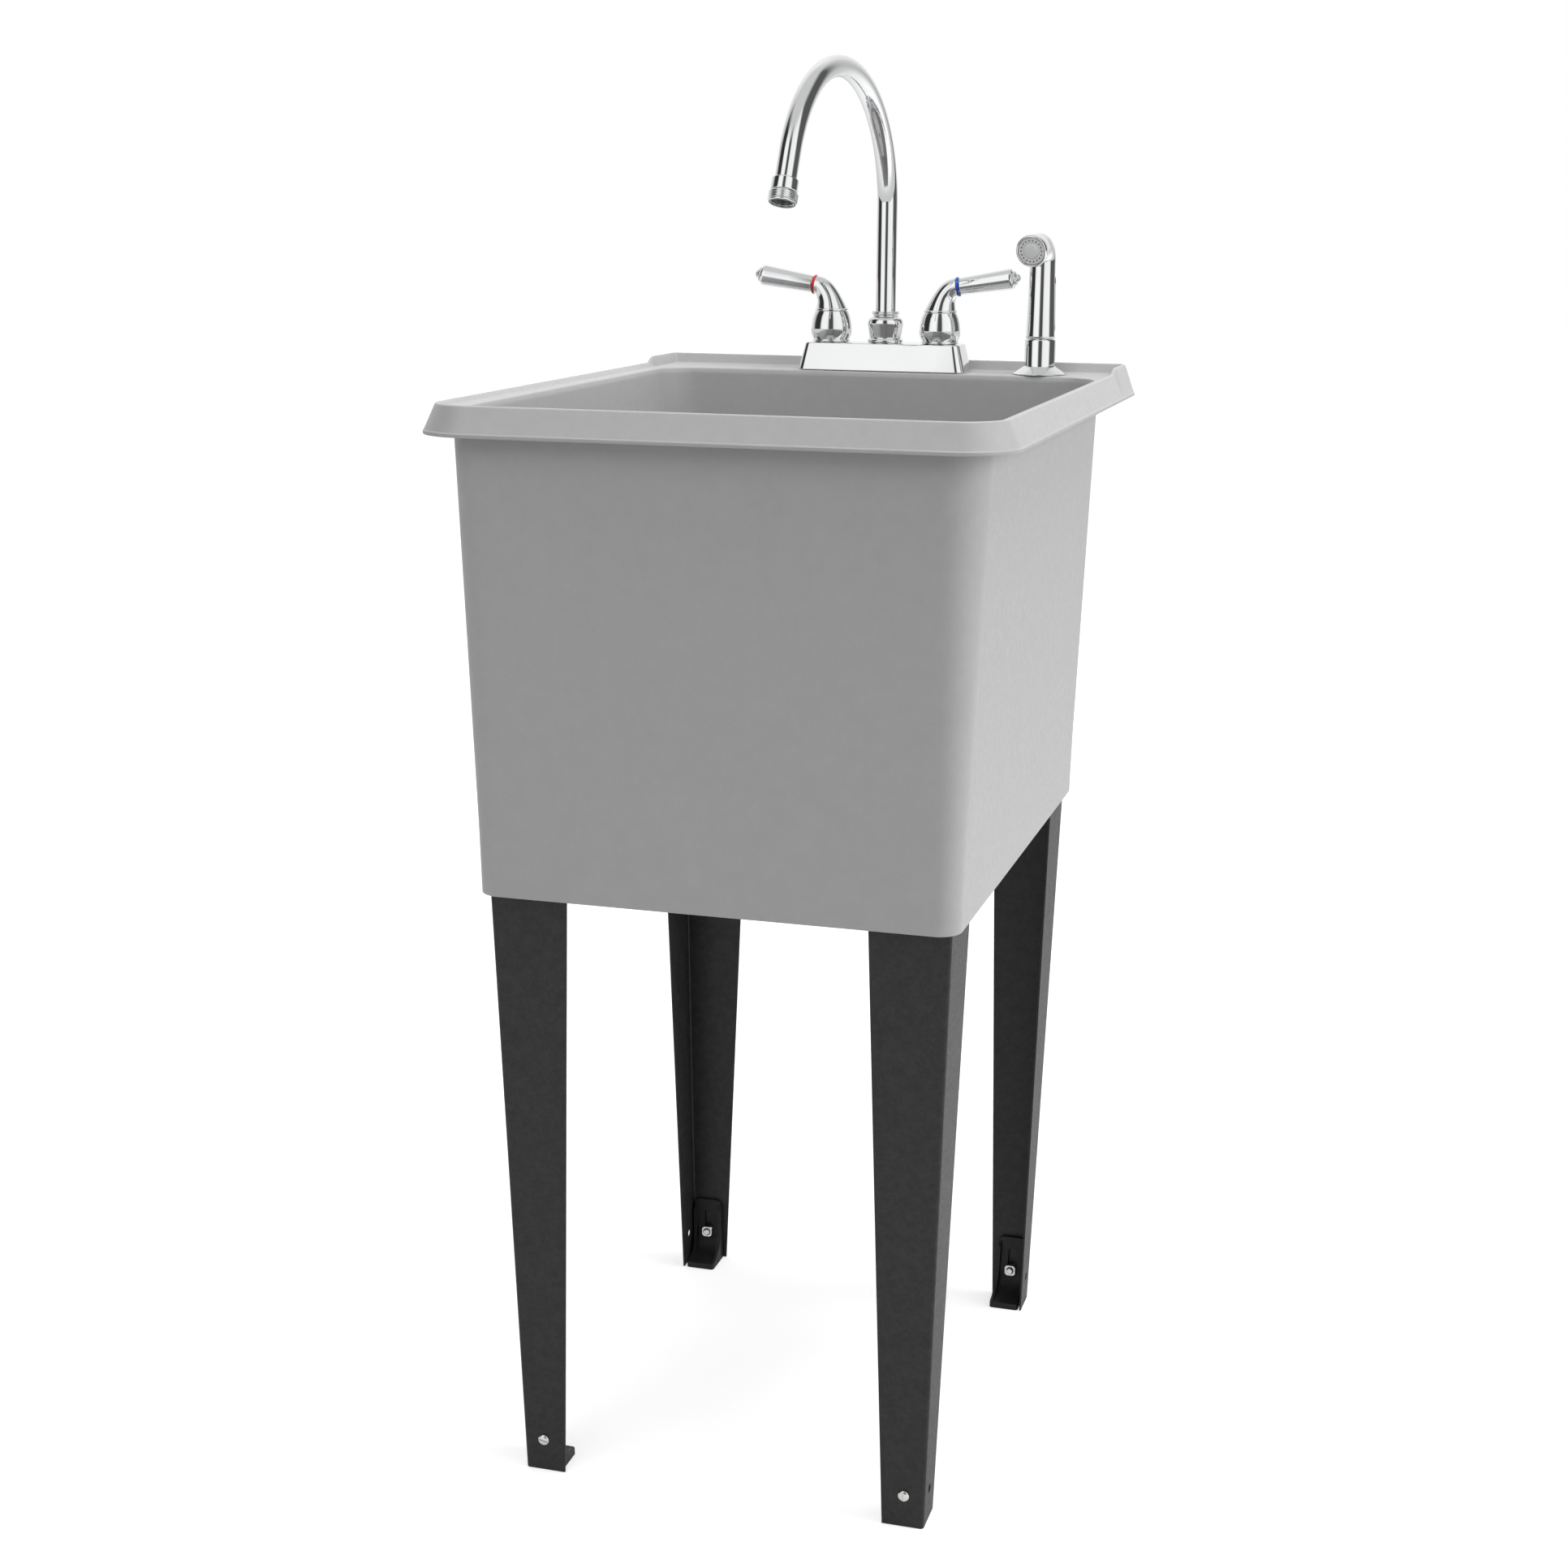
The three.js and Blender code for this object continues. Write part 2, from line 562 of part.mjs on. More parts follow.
function angleSection(z) {
  const width = flangeWidth(z);
  const points = [[-width, 0]];
  const bend = (radius, centre, from, to) => {
    for (let i = 0; i <= 4; i++) {
      const angle = radians(from + ((to - from) * i) / 4);
      points.push([-centre + radius * Math.cos(angle), centre + radius * Math.sin(angle)]);
    }
  };
  bend(LEG_BEND_RADIUS, LEG_BEND_RADIUS, -90, 0);
  points.push([0, width], [-LEG_SHEET, width]);
  bend(LEG_BEND_RADIUS - LEG_SHEET, LEG_BEND_RADIUS, 0, -90);
  points.push([-width, LEG_SHEET]);
  return points.map(([x, y]) => new THREE.Vector3(x, y, z));
}

function crossHole(radius, x, z, reach) {
  const geometry = new THREE.CylinderGeometry(radius, radius, reach, COARSE);
  return geometry.translate(x, 0, z);
}

function leg() {
  const radius = BOLT_RADIUS + BOLT_GAP;
  const blank = solid(loft([angleSection(LEG_CLEARANCE), angleSection(LEG_TOP)]).applyMatrix4(lean));
  const front = crossHole(radius, -BOLT_INSET, BOLT_HEIGHT, 20).applyMatrix4(lean);
  const side = crossHole(radius, -BOLT_INSET, BOLT_HEIGHT, 20).rotateZ(-Math.PI / 2).applyMatrix4(lean);
  return cut(blank, solid(front), solid(side));
}

// The side view of the foot's raised edges: narrow above, and swept out to the whole base plate below.
function footEdge(x) {
  const back = LEG_SHEET + GAP;
  const top = back + FOOT_PLATE + FOOT_RIB_RISE;
  const shape = new THREE.Shape();
  shape.moveTo(back, 0);
  shape.lineTo(back + FOOT_REACH, 0);
  shape.lineTo(back + FOOT_REACH, FOOT_BASE);
  shape.quadraticCurveTo(top + 2, FOOT_BASE + 2, top, FOOT_HEIGHT * 0.5);
  shape.lineTo(top, FOOT_HEIGHT - 6);
  shape.lineTo(back + FOOT_PLATE, FOOT_HEIGHT - 1);
  shape.lineTo(back, FOOT_HEIGHT - 1);
  shape.closePath();
  const options = { depth: FOOT_RIB, bevelEnabled: false, curveSegments: 5 };
  const geometry = new THREE.ExtrudeGeometry(shape, options).rotateX(Math.PI / 2).rotateZ(Math.PI / 2);
  return solid(geometry.translate(x, 0, 0));
}

function footSlot(halfWidth, margin, depth) {
  const low = BOLT_HEIGHT - margin;
  const high = BOLT_HEIGHT + FOOT_TRAVEL + margin;
  const x = -BOLT_INSET;
  return box([x - halfWidth, x + halfWidth], depth, [low, high]);
}

function foot() {
  const back = LEG_SHEET + GAP;
  const [x0, x1] = [-BOLT_INSET - FOOT_WIDTH / 2, -BOLT_INSET + FOOT_WIDTH / 2];
  const corner = 6; // cut corners at the top of the plate
  const outlineShape = new THREE.Shape();
  outlineShape.moveTo(x0, 0);
  outlineShape.lineTo(x1, 0);
  outlineShape.lineTo(x1, FOOT_HEIGHT - corner);
  outlineShape.quadraticCurveTo(x1, FOOT_HEIGHT, x1 - corner, FOOT_HEIGHT);
  outlineShape.lineTo(x0 + corner, FOOT_HEIGHT);
  outlineShape.quadraticCurveTo(x0, FOOT_HEIGHT, x0, FOOT_HEIGHT - corner);
  outlineShape.closePath();
  const plateGeometry = new THREE.ExtrudeGeometry(outlineShape, {
    depth: FOOT_PLATE,
    bevelEnabled: false,
    curveSegments: 3,
  });
  const plate = solid(plateGeometry.rotateX(Math.PI / 2).translate(0, back + FOOT_PLATE, 0));
  const base = box([x0, x1], [back, back + FOOT_REACH], [0, FOOT_BASE]);
  const blank = joined(plate, base, footEdge(x0), footEdge(x1 - FOOT_RIB));
  const slot = footSlot(BOLT_RADIUS + GAP, BOLT_RADIUS + GAP, [0, back + FOOT_PLATE + 1]);
  return cut(blank, slot);
}

function sheared(body) {
  return solid(geometryOf(body).applyMatrix4(lean));
}

// The bolt's axis is Y, its head is outside the leg.
function footBolt() {
  const head = new THREE.Shape();
  head.moveTo(0, 0);
  head.lineTo(BOLT_HEAD_RADIUS, 0);
  head.quadraticCurveTo(BOLT_HEAD_RADIUS, BOLT_HEAD_HEIGHT, 0, BOLT_HEAD_HEIGHT);
  const profile = head.getPoints(3).map((p) => [p.x, p.y]);
  const dome = revolve(profile, COARSE);
  const stack = GAP + LEG_SHEET + GAP + FOOT_PLATE + GAP + NUT_THICKNESS + BOLT_TAIL;
  const shank = disc(BOLT_RADIUS, -stack, 0.2, COARSE);
  const slotDepth = [BOLT_HEAD_HEIGHT - 1.2, BOLT_HEAD_HEIGHT + 1];
  const slot = box([-0.6, 0.6], [-BOLT_HEAD_RADIUS, BOLT_HEAD_RADIUS], slotDepth);
  return cut(joined(dome, shank), slot);
}

function footNut() {
  const half = NUT_SIZE / 2;
  const block = box([-half, half], [-half, half], [0, NUT_THICKNESS]);
  return cut(block, disc(BOLT_RADIUS + GAP, -1, NUT_THICKNESS + 1, COARSE));
}

function cornerStand(name, signX, signY) {
  const stand = new THREE.Group();
  stand.position.set(signX * LEG_TOE_X, signY * (signY < 0 ? LEG_TOE_FRONT : LEG_TOE_BACK), 0);
  stand.scale.set(signX, -signY, 1);
  stand.add(piece(`leg_${name}`, leg(), "leg"));
  stand.add(piece(`foot_${name}`, sheared(foot()), "foot"));

  // The bolt and its nut stand square to the leaning flange.
  const fastener = new THREE.Group();
  fastener.position.set(LEG_LEAN_X * BOLT_HEIGHT - BOLT_INSET, -LEG_LEAN_Y * BOLT_HEIGHT, BOLT_HEIGHT);
  fastener.rotation.x = Math.PI / 2 + Math.atan(LEG_LEAN_Y);
  const bolt = piece(`foot_bolt_${name}`, footBolt(), "zinc");
  bolt.position.z = GAP;
  const nut = piece(`foot_nut_${name}`, footNut(), "zinc");
  nut.position.z = -(LEG_SHEET + GAP + FOOT_PLATE + GAP + NUT_THICKNESS);
  fastener.add(bolt, nut);
  stand.add(fastener);
  return stand;
}

// ---------------------------------------------------------------- drain

function drain() {
  const group = new THREE.Group();
  const seat = FLOOR_LOW - DRAIN_FLANGE_THICKNESS;
  group.position.set(0, DRAIN_Y, seat);
  const flangeTop = DRAIN_FLANGE_THICKNESS;
  const flangeLow = GAP;
  const outer = DRAIN_HOLE_RADIUS - GAP;
  const throat = DRAIN_BORE_RADIUS;
  const shell = revolve(
    [
      [throat, -DRAIN_LENGTH],
      [outer, -DRAIN_LENGTH],
      [outer, flangeLow],
      [DRAIN_FLANGE_RADIUS, flangeLow],
      [DRAIN_FLANGE_RADIUS, flangeTop - 0.8],
      [DRAIN_FLANGE_RADIUS - 2, flangeTop],
      [throat + 3, flangeTop],
      [throat, flangeTop - 3],
    ],
    FINE,
  );
  const bars = [0, 60, 120].map((turn) => {
    const bar = new THREE.BoxGeometry(2 * throat + 2, 2.4, 4).translate(0, 0, -14);
    return solid(bar.rotateZ(radians(turn)));
  });
  group.add(piece("drain_body", joined(shell, ...bars), "chrome"));

  const under = -FLOOR_THICKNESS;
  const gasketTop = under - GAP;
  const gasket = revolve([
    [outer + GAP, gasketTop - GASKET_THICKNESS],
    [DRAIN_NUT_RADIUS - 1, gasketTop - GASKET_THICKNESS],
    [DRAIN_NUT_RADIUS - 1, gasketTop],
    [outer + GAP, gasketTop],
  ], FINE);
  group.add(piece("drain_gasket", gasket, "rubber"));

  const nutTop = gasketTop - GASKET_THICKNESS - GAP;
  const nut = cut(
    disc(DRAIN_NUT_RADIUS, nutTop - DRAIN_NUT_HEIGHT, nutTop, 8),
    disc(outer + GAP, nutTop - DRAIN_NUT_HEIGHT - 1, nutTop + 1, FINE),
  );
  group.add(piece("drain_locknut", nut, "nylon"));

  const rest = flangeTop + GAP;
  const stopper = revolve([
    [0, rest - 9],
    [throat - 3, rest - 9],
    [throat - 1.2, rest - 4],
    [throat - 1.2, rest],
    [throat + 6, rest],
    [throat + 6, rest + STOPPER_LIP],
    [7, rest + STOPPER_LIP + 1.5],
    [4, rest + STOPPER_LIP + 4],
    [4.8, rest + STOPPER_LIP + 8],
    [0, rest + STOPPER_LIP + 9],
  ]);
  group.add(piece("drain_stopper", stopper, "rubber"));
  return group;
}

// ---------------------------------------------------------------- tap base

const socketRadius = Math.max(VALVE_RADIUS, SPOUT_RADIUS + 2); // bosses that pass through the cover

// The sloped block between two rounded outlines, smaller above by the taper.
function taperedBlock(length, depth, radius, from, to, taperX, taperY) {
  return solid(
    loft([
      roundedRing(length, depth, radius, from),
      roundedRing(length - 2 * taperX, depth - 2 * taperY, radius - 2, to),
    ]),
  );
}

function tapCover() {
  const top = COVER_HEIGHT;
  const outer = taperedBlock(COVER_LENGTH, COVER_DEPTH, COVER_RADIUS, GAP, top, COVER_TAPER_X, COVER_TAPER_Y);
  const inner = taperedBlock(
    COVER_LENGTH - 2 * COVER_WALL,
    COVER_DEPTH - 2 * COVER_WALL,
    COVER_RADIUS - COVER_WALL,
    -1,
    top - COVER_WALL,
    COVER_TAPER_X,
    COVER_TAPER_Y,
  );
  const openings = [-HANDLE_SPACING / 2, 0, HANDLE_SPACING / 2].map((x) =>
    discAt(x, 0, socketRadius + GAP, top - 5, top + 5),
  );
  return piece("tap_base_cover", cut(outer, inner, ...openings), "chrome");
}

function tapGasket() {
  const inset = COVER_WALL + 1;
  const [length, depth] = [COVER_LENGTH - 2 * inset, COVER_DEPTH - 2 * inset];
  const sheet = solid(
    loft([
      roundedRing(length, depth, COVER_RADIUS - COVER_WALL, GAP),
      roundedRing(length, depth, COVER_RADIUS - COVER_WALL, GAP + GASKET_THICKNESS),
    ]),
  );
  const holes = [-HANDLE_SPACING / 2, HANDLE_SPACING / 2].map((x) =>
    discAt(x, 0, SHANK_RADIUS + GAP, -1, 5, COARSE),
  );
  holes.push(disc(NIPPLE_RADIUS + GAP, -1, 5, COARSE));
  return piece("tap_base_gasket", cut(sheet, ...holes), "rubber");
}

// The cast waterway: two threaded shanks, a bridge under the cover, two valve seats and the spout socket.
function tapBody() {
  const low = GAP + GASKET_THICKNESS + GAP;
  const bridgeTop = COVER_HEIGHT - COVER_WALL - 2;
  const valveTop = COVER_HEIGHT + VALVE_HEIGHT;
  const half = HANDLE_SPACING / 2;
  let body = box([-half, half], [-8, 8], [low, bridgeTop]);
  for (const x of [-half, half]) {
    body = joined(
      body,
      discAt(x, 0, SHANK_RADIUS, -SHANK_LENGTH, low + 2, COARSE),
      discAt(x, 0, SHANK_RADIUS + 1.5, low, bridgeTop, COARSE),
      discAt(x, 0, VALVE_RADIUS, low, valveTop),
    );
    body = cut(
      body,
      discAt(x, 0, SHANK_BORE_RADIUS, -SHANK_LENGTH - 1, -SHANK_LENGTH + SHANK_BORE_DEPTH, COARSE),
      discAt(x, 0, STEM_RADIUS + GAP, valveTop - STEM_SOCKET, valveTop + 1),
    );
  }
  const socketTop = COVER_HEIGHT + 3;
  body = joined(
    body,
    disc(SPOUT_RADIUS + 2, low, socketTop),
    disc(NIPPLE_RADIUS, -NIPPLE_LENGTH, low + 2, COARSE),
  );
  body = cut(
    body,
    disc(SPOUT_RADIUS + GAP, socketTop - SPOUT_SOCKET, socketTop + 1),
    disc(NIPPLE_RADIUS - 2.5, -NIPPLE_LENGTH - 1, -4, COARSE),
  );
  return piece("tap_body", body, "brass");
}

function shankNut(name, x) {
  const top = DECK_UNDERSIDE - DECK - GAP;
  const flange = disc(SHANK_NUT_RADIUS, top - 2.5, top, COARSE);
  const grip = disc(SHANK_NUT_RADIUS - 1.5, top - SHANK_NUT_HEIGHT, top - 2, 8);
  const bore = disc(SHANK_RADIUS + GAP, top - SHANK_NUT_HEIGHT - 1, top + 1, COARSE);
  const nut = piece(name, cut(joined(flange, grip), bore), "nylon");
  nut.position.x = x;
  return nut;
}

// ---------------------------------------------------------------- handles
// A handle is built with its lever towards +X and turned into place about its own axis.

function bonnet() {
  const base = COVER_HEIGHT + GAP;
  const top = COVER_HEIGHT + BONNET_HEIGHT;
  const outside = [
    [BONNET_FOOT_RADIUS + 0.8, base],
    [BONNET_FOOT_RADIUS + 0.8, base + 1.4],
    [BONNET_FOOT_RADIUS, base + 2],
    [BONNET_RADIUS - 0.6, base + BONNET_HEIGHT * 0.22],
    [BONNET_RADIUS, base + BONNET_HEIGHT * 0.42],
    [BONNET_RADIUS - 0.7, base + BONNET_HEIGHT * 0.64],
    [BONNET_RADIUS - 2, base + BONNET_HEIGHT * 0.82],
    [BONNET_TOP_RADIUS, top],
  ];
  const inside = [
    [BONNET_TOP_RADIUS - BONNET_WALL, top],
    [BONNET_RADIUS - BONNET_WALL - 1, base + BONNET_HEIGHT * 0.5],
    [BONNET_FOOT_RADIUS - BONNET_WALL, base],
  ];
  return revolve([...outside, ...inside]);
}

function stem() {
  const low = COVER_HEIGHT + VALVE_HEIGHT - STEM_SOCKET + GAP;
  const shoulder = COVER_HEIGHT + BONNET_HEIGHT - 4;
  const top = COVER_HEIGHT + BONNET_HEIGHT + STEM_RISE;
  return revolve(
    [
      [0, low],
      [STEM_RADIUS, low],
      [STEM_RADIUS, shoulder],
      [STEM_RADIUS - 1.5, shoulder],
      [STEM_RADIUS - 1.5, top],
      [0, top],
    ],
    COARSE,
  );
}

// The hub rises from the bonnet's seam and bends into the lever.
function handleHub() {
  const seam = COVER_HEIGHT + BONNET_HEIGHT + GAP;
  const end = { x: RING_REACH, z: seam + RING_RISE };
  const foot = BONNET_TOP_RADIUS;
  const neck = LEVER_START_RADIUS + 0.6;
  const stations = [
    { x: 0, z: seam, tilt: 0, radius: foot + 0.5 },
    { x: 0, z: seam + 1.3, tilt: 0, radius: foot + 0.5 },
    { x: 0, z: seam + 1.8, tilt: 0, radius: foot - 0.3 },
    { x: end.x * 0.07, z: seam + RING_RISE * 0.24, tilt: 5, radius: foot * 0.87 },
    { x: end.x * 0.18, z: seam + RING_RISE * 0.46, tilt: 14, radius: foot * 0.75 },
    { x: end.x * 0.33, z: seam + RING_RISE * 0.67, tilt: 27, radius: foot * 0.66 },
    { x: end.x * 0.53, z: seam + RING_RISE * 0.84, tilt: 46, radius: foot * 0.61 },
    { x: end.x * 0.76, z: seam + RING_RISE * 0.95, tilt: 68, radius: neck + 0.3 },
    { x: end.x, z: end.z, tilt: 90 - LEVER_TILT, radius: neck },
  ];
  const body = solid(loft(bentRings(stations, ROUND)));
  const socketTop = COVER_HEIGHT + BONNET_HEIGHT + STEM_RISE + GAP;
  return cut(body, disc(STEM_RADIUS - 1.5 + GAP, seam - 1, socketTop, COARSE));
}

// The index ring, with the lever behind it: both lie along +Z here, from the end of the hub.
function indexRing() {
  return revolve([
    [LEVER_START_RADIUS - 2, GAP],
    [RING_RADIUS - 0.5, GAP],
    [RING_RADIUS, GAP + RING_THICKNESS / 2],
    [RING_RADIUS - 0.5, GAP + RING_THICKNESS],
    [LEVER_START_RADIUS - 2, GAP + RING_THICKNESS],
  ]);
}

function lever() {
  const start = GAP + RING_THICKNESS + GAP;
  const end = start + LEVER_LENGTH - 8; // the turned end takes the last 8 mm
  const r = LEVER_END_RADIUS;
  return revolve([
    [0, start],
    [LEVER_START_RADIUS - 0.6, start],
    [LEVER_START_RADIUS, start + 0.8],
    [r - 0.2, end - 3],
    [r, end - 1],
    [r - 0.6, end + 0.8],
    [r - 2.6, end + 1.8],
    [r - 2.9, end + 2.6],
    [r - 3.4, end + 4],
    [r - 5.6, end + 4.8],
    [r - 5.9, end + 5.6],
    [1.6, end + 7.4],
    [0, end + 8],
  ]);
}

function handle(name, x, turn, look) {
  const group = new THREE.Group();
  group.position.x = x;
  group.rotation.z = radians(turn);
  group.add(piece(`${name}_bonnet`, bonnet(), "chrome"));
  group.add(piece(`${name}_valve_stem`, stem(), "brass"));
  group.add(piece(`${name}_handle_hub`, handleHub(), "chrome"));
  const arm = new THREE.Group();
  arm.position.set(RING_REACH, 0, COVER_HEIGHT + BONNET_HEIGHT + GAP + RING_RISE);
  arm.rotation.y = radians(90 - LEVER_TILT);
  arm.add(piece(`${name}_index_ring`, indexRing(), look));
  arm.add(piece(`${name}_lever`, lever(), "chrome"));
  group.add(arm);
  return group;
}

// ---------------------------------------------------------------- spout

function spoutCollar() {
  const low = COVER_HEIGHT + GAP;
  const r = COLLAR_RADIUS;
  const h = COLLAR_HEIGHT;
  const bore = SPOUT_RADIUS + GAP;
  const cavity = SPOUT_RADIUS + 2 + GAP;
  return revolve([
    [r, low],
    [r, low + 2.4],
    [r - 1.8, low + 3.4],
    [r - 1.8, low + 6],
    [r - 0.4, low + h * 0.5],
    [r, low + h * 0.64],
    [r - 1.2, low + h * 0.75],
    [r - 5, low + h * 0.84],
    [r - 5, low + h * 0.9],
    [r - 3.5, low + h * 0.93],
    [r - 3.5, low + h],
    [bore, low + h],
    [bore, low + 4],
    [cavity, low + 4],
    [cavity, low],
  ]);
}

// The centreline of the tube in the XZ plane: up, round the arch and a short straight end.
class Gooseneck extends THREE.Curve {
  constructor() {
    super();
    this.rise = ARCH_START - SPOUT_FOOT;
    this.arc = ARCH_RADIUS * radians(ARCH_SWEEP);
    this.length = this.rise + this.arc + SPOUT_END + OUTLET_OVERLAP;
  }

  getPoint(t, target = new THREE.Vector3()) {
    const s = t * this.length;
    if (s <= this.rise) return target.set(0, 0, SPOUT_FOOT + s);
    const along = Math.min(s - this.rise, this.arc);
    const angle = along / ARCH_RADIUS;
    const rest = s - this.rise - along;
    const x = ARCH_RADIUS * (1 - Math.cos(angle)) + rest * Math.sin(angle);
    const z = ARCH_START + ARCH_RADIUS * Math.sin(angle) + rest * Math.cos(angle);
    return target.set(x, 0, z);
  }
}

function spoutTube() {
  const section = new THREE.Shape();
  section.absarc(0, 0, SPOUT_RADIUS, 0, 2 * Math.PI, false);
  const bore = new THREE.Path();
  bore.absarc(0, 0, SPOUT_BORE_RADIUS, 0, 2 * Math.PI, true);
  section.holes.push(bore);
  const path = new Gooseneck();
  const steps = Math.round(path.length / 16);
  return solid(new THREE.ExtrudeGeometry(section, { steps, extrudePath: path, curveSegments: 6 }));
}

function outletCollar() {
  const bore = SPOUT_RADIUS + GAP;
  const stop = OUTLET_OVERLAP + GAP;
  return revolve([
    [bore, 0],
    [OUTLET_RADIUS - 0.6, 0],
    [OUTLET_RADIUS, 0.8],
    [OUTLET_RADIUS, OUTLET_LENGTH],
    [SPOUT_BORE_RADIUS, OUTLET_LENGTH],
    [SPOUT_BORE_RADIUS, stop],
    [bore, stop],
  ]);
}

// The aerator housing, threaded outside: its profile has one ridge for each turn of thread.
function aerator() {
  const start = OUTLET_LENGTH + GAP;
  const end = start + AERATOR_LENGTH;
  const profile = [
    [AERATOR_BORE_RADIUS, start],
    [AERATOR_RADIUS - 1.6, start],
  ];
  const ridges = 3;
  const pitch = (AERATOR_LENGTH - 2) / ridges;
  for (let i = 0; i < ridges; i++) {
    const z = start + 1 + i * pitch;
    profile.push([AERATOR_RADIUS - 0.8, z]);
    profile.push([AERATOR_RADIUS, z + pitch * 0.4]);
    profile.push([AERATOR_RADIUS, z + pitch * 0.7]);
  }
  profile.push([AERATOR_RADIUS - 1.2, end], [AERATOR_BORE_RADIUS + 0.6, end]);
  profile.push([AERATOR_BORE_RADIUS + 0.6, end - 1.5], [AERATOR_BORE_RADIUS, end - 1.5]);
  return revolve(profile);
}

function aeratorScreen() {
  const end = OUTLET_LENGTH + GAP + AERATOR_LENGTH - 2.2;
  return disc(AERATOR_BORE_RADIUS - GAP, end - SCREEN_THICKNESS, end);
}

function spout() {
  const group = new THREE.Group();
  group.rotation.z = radians(-90 - SPOUT_TURN);
  group.add(piece("spout_tube", spoutTube(), "chrome"));
  const path = new Gooseneck();
  const tip = path.getPoint(1 - OUTLET_OVERLAP / path.length);
  const outlet = new THREE.Group();
  outlet.position.copy(tip);
  outlet.rotation.y = radians(ARCH_SWEEP);
  outlet.add(piece("spout_outlet_collar", outletCollar(), "chrome"));
  outlet.add(piece("aerator_housing", aerator(), "chrome"));
  outlet.add(piece("aerator_screen", aeratorScreen(), "screen"));
  group.add(outlet);
  return group;
}

// ---------------------------------------------------------------- side sprayer

function sprayHolder() {
  const bore = SPRAY_STEM_RADIUS + GAP;
  return revolve(
    [
      [bore, -HOLDER_SHANK_LENGTH],
      [HOLDER_SHANK_RADIUS, -HOLDER_SHANK_LENGTH],
      [HOLDER_SHANK_RADIUS, GAP],
      [HOLDER_FLANGE_RADIUS, GAP],
      [HOLDER_FLANGE_RADIUS, GAP + 1],
      [HOLDER_RADIUS + 1, HOLDER_CONE_HEIGHT],
      [HOLDER_RADIUS, HOLDER_CONE_HEIGHT + 0.6],
      [HOLDER_RADIUS, HOLDER_HEIGHT - 1],
      [HOLDER_RADIUS - 0.8, HOLDER_HEIGHT],
      [bore, HOLDER_HEIGHT],
    ],
    FINE,
  );
}

function sprayHolderNut() {
  const top = DECK_UNDERSIDE - DECK - GAP;
  const blank = disc(HOLDER_NUT_RADIUS, top - HOLDER_NUT_HEIGHT, top, 8);
  return cut(blank, disc(HOLDER_SHANK_RADIUS + GAP, top - HOLDER_NUT_HEIGHT - 1, top + 1, FINE));
}

// Where the neck ends and which way it points, in the XZ plane of the bent rings.
function neckEnd() {
  const angle = radians(SPRAY_NECK_SWEEP);
  const x = SPRAY_NECK_RADIUS * (1 - Math.cos(angle)) + SPRAY_HEAD_LENGTH * Math.sin(angle);
  const z = SPRAY_RISE + SPRAY_NECK_RADIUS * Math.sin(angle) + SPRAY_HEAD_LENGTH * Math.cos(angle);
  return { x, z: z + 1, tilt: SPRAY_NECK_SWEEP };
}

function sprayBody() {
  const foot = HOLDER_HEIGHT + GAP;
  const stations = [
    { x: 0, z: foot, tilt: 0, radius: SPRAY_FOOT_RADIUS - 0.4 },
    { x: 0, z: foot + 0.8, tilt: 0, radius: SPRAY_FOOT_RADIUS },
    { x: 0, z: foot + 5, tilt: 0, radius: SPRAY_FOOT_RADIUS },
    { x: 0, z: (foot + SPRAY_RISE) / 2, tilt: 0, radius: (SPRAY_FOOT_RADIUS + SPRAY_WAIST_RADIUS) / 2 },
    { x: 0, z: SPRAY_RISE - 8, tilt: 0, radius: SPRAY_WAIST_RADIUS },
  ];
  const bends = 6;
  for (let i = 0; i <= bends; i++) {
    const tilt = (SPRAY_NECK_SWEEP * i) / bends;
    stations.push({
      x: SPRAY_NECK_RADIUS * (1 - Math.cos(radians(tilt))),
      z: SPRAY_RISE + SPRAY_NECK_RADIUS * Math.sin(radians(tilt)),
      tilt,
      radius: SPRAY_WAIST_RADIUS,
    });
  }
  stations.push({ ...neckEnd(), radius: SPRAY_HEAD_RADIUS - 0.6 });
  const shell = solid(loft(bentRings(stations, ROUND)).rotateZ(-Math.PI / 2));
  const stemLow = foot - SPRAY_STEM_LENGTH;
  const body = joined(shell, disc(SPRAY_STEM_RADIUS, stemLow, foot + 2, COARSE));

  // Room for the trigger: a shallow recess round the back, a pocket for its lug and a hole for its pin.
  const recess = sector(TRIGGER_RADIUS - TRIGGER_SHEET - 1.5, TRIGGER_RADIUS + 8, TRIGGER_SPAN + 17);
  const recessCut = extrudeZ(recess, TRIGGER_TOP - TRIGGER_LENGTH - 2, TRIGGER_TOP + 0.6);
  const half = TRIGGER_LUG_WIDTH / 2 + GAP;
  const pocketDepth = [TRIGGER_PIN_Y - 4, TRIGGER_RADIUS + 4];
  const pocket = box([-half, half], pocketDepth, [PIN_HEIGHT - 8, PIN_HEIGHT + 4]);
  const pinHole = pinAlongX(TRIGGER_PIN_RADIUS + GAP, 40);
  const hoseBore = disc(SPRAY_STEM_RADIUS - 3, stemLow - 1, stemLow + 14, COARSE);
  return cut(body, recessCut, pocket, pinHole, hoseBore);
}

// A band of the circle round the back (+Y), between two radii.
function sector(inner, outer, halfAngle) {
  const from = Math.PI / 2 - radians(halfAngle);
  const to = Math.PI / 2 + radians(halfAngle);
  const shape = new THREE.Shape();
  shape.absarc(0, 0, outer, from, to, false);
  shape.absarc(0, 0, inner, to, from, true);
  shape.closePath();
  return shape;
}

function extrudeZ(shape, from, to, curveSegments = 8) {
  const geometry = new THREE.ExtrudeGeometry(shape, { depth: to - from, bevelEnabled: false, curveSegments });
  return solid(geometry.translate(0, 0, from));
}

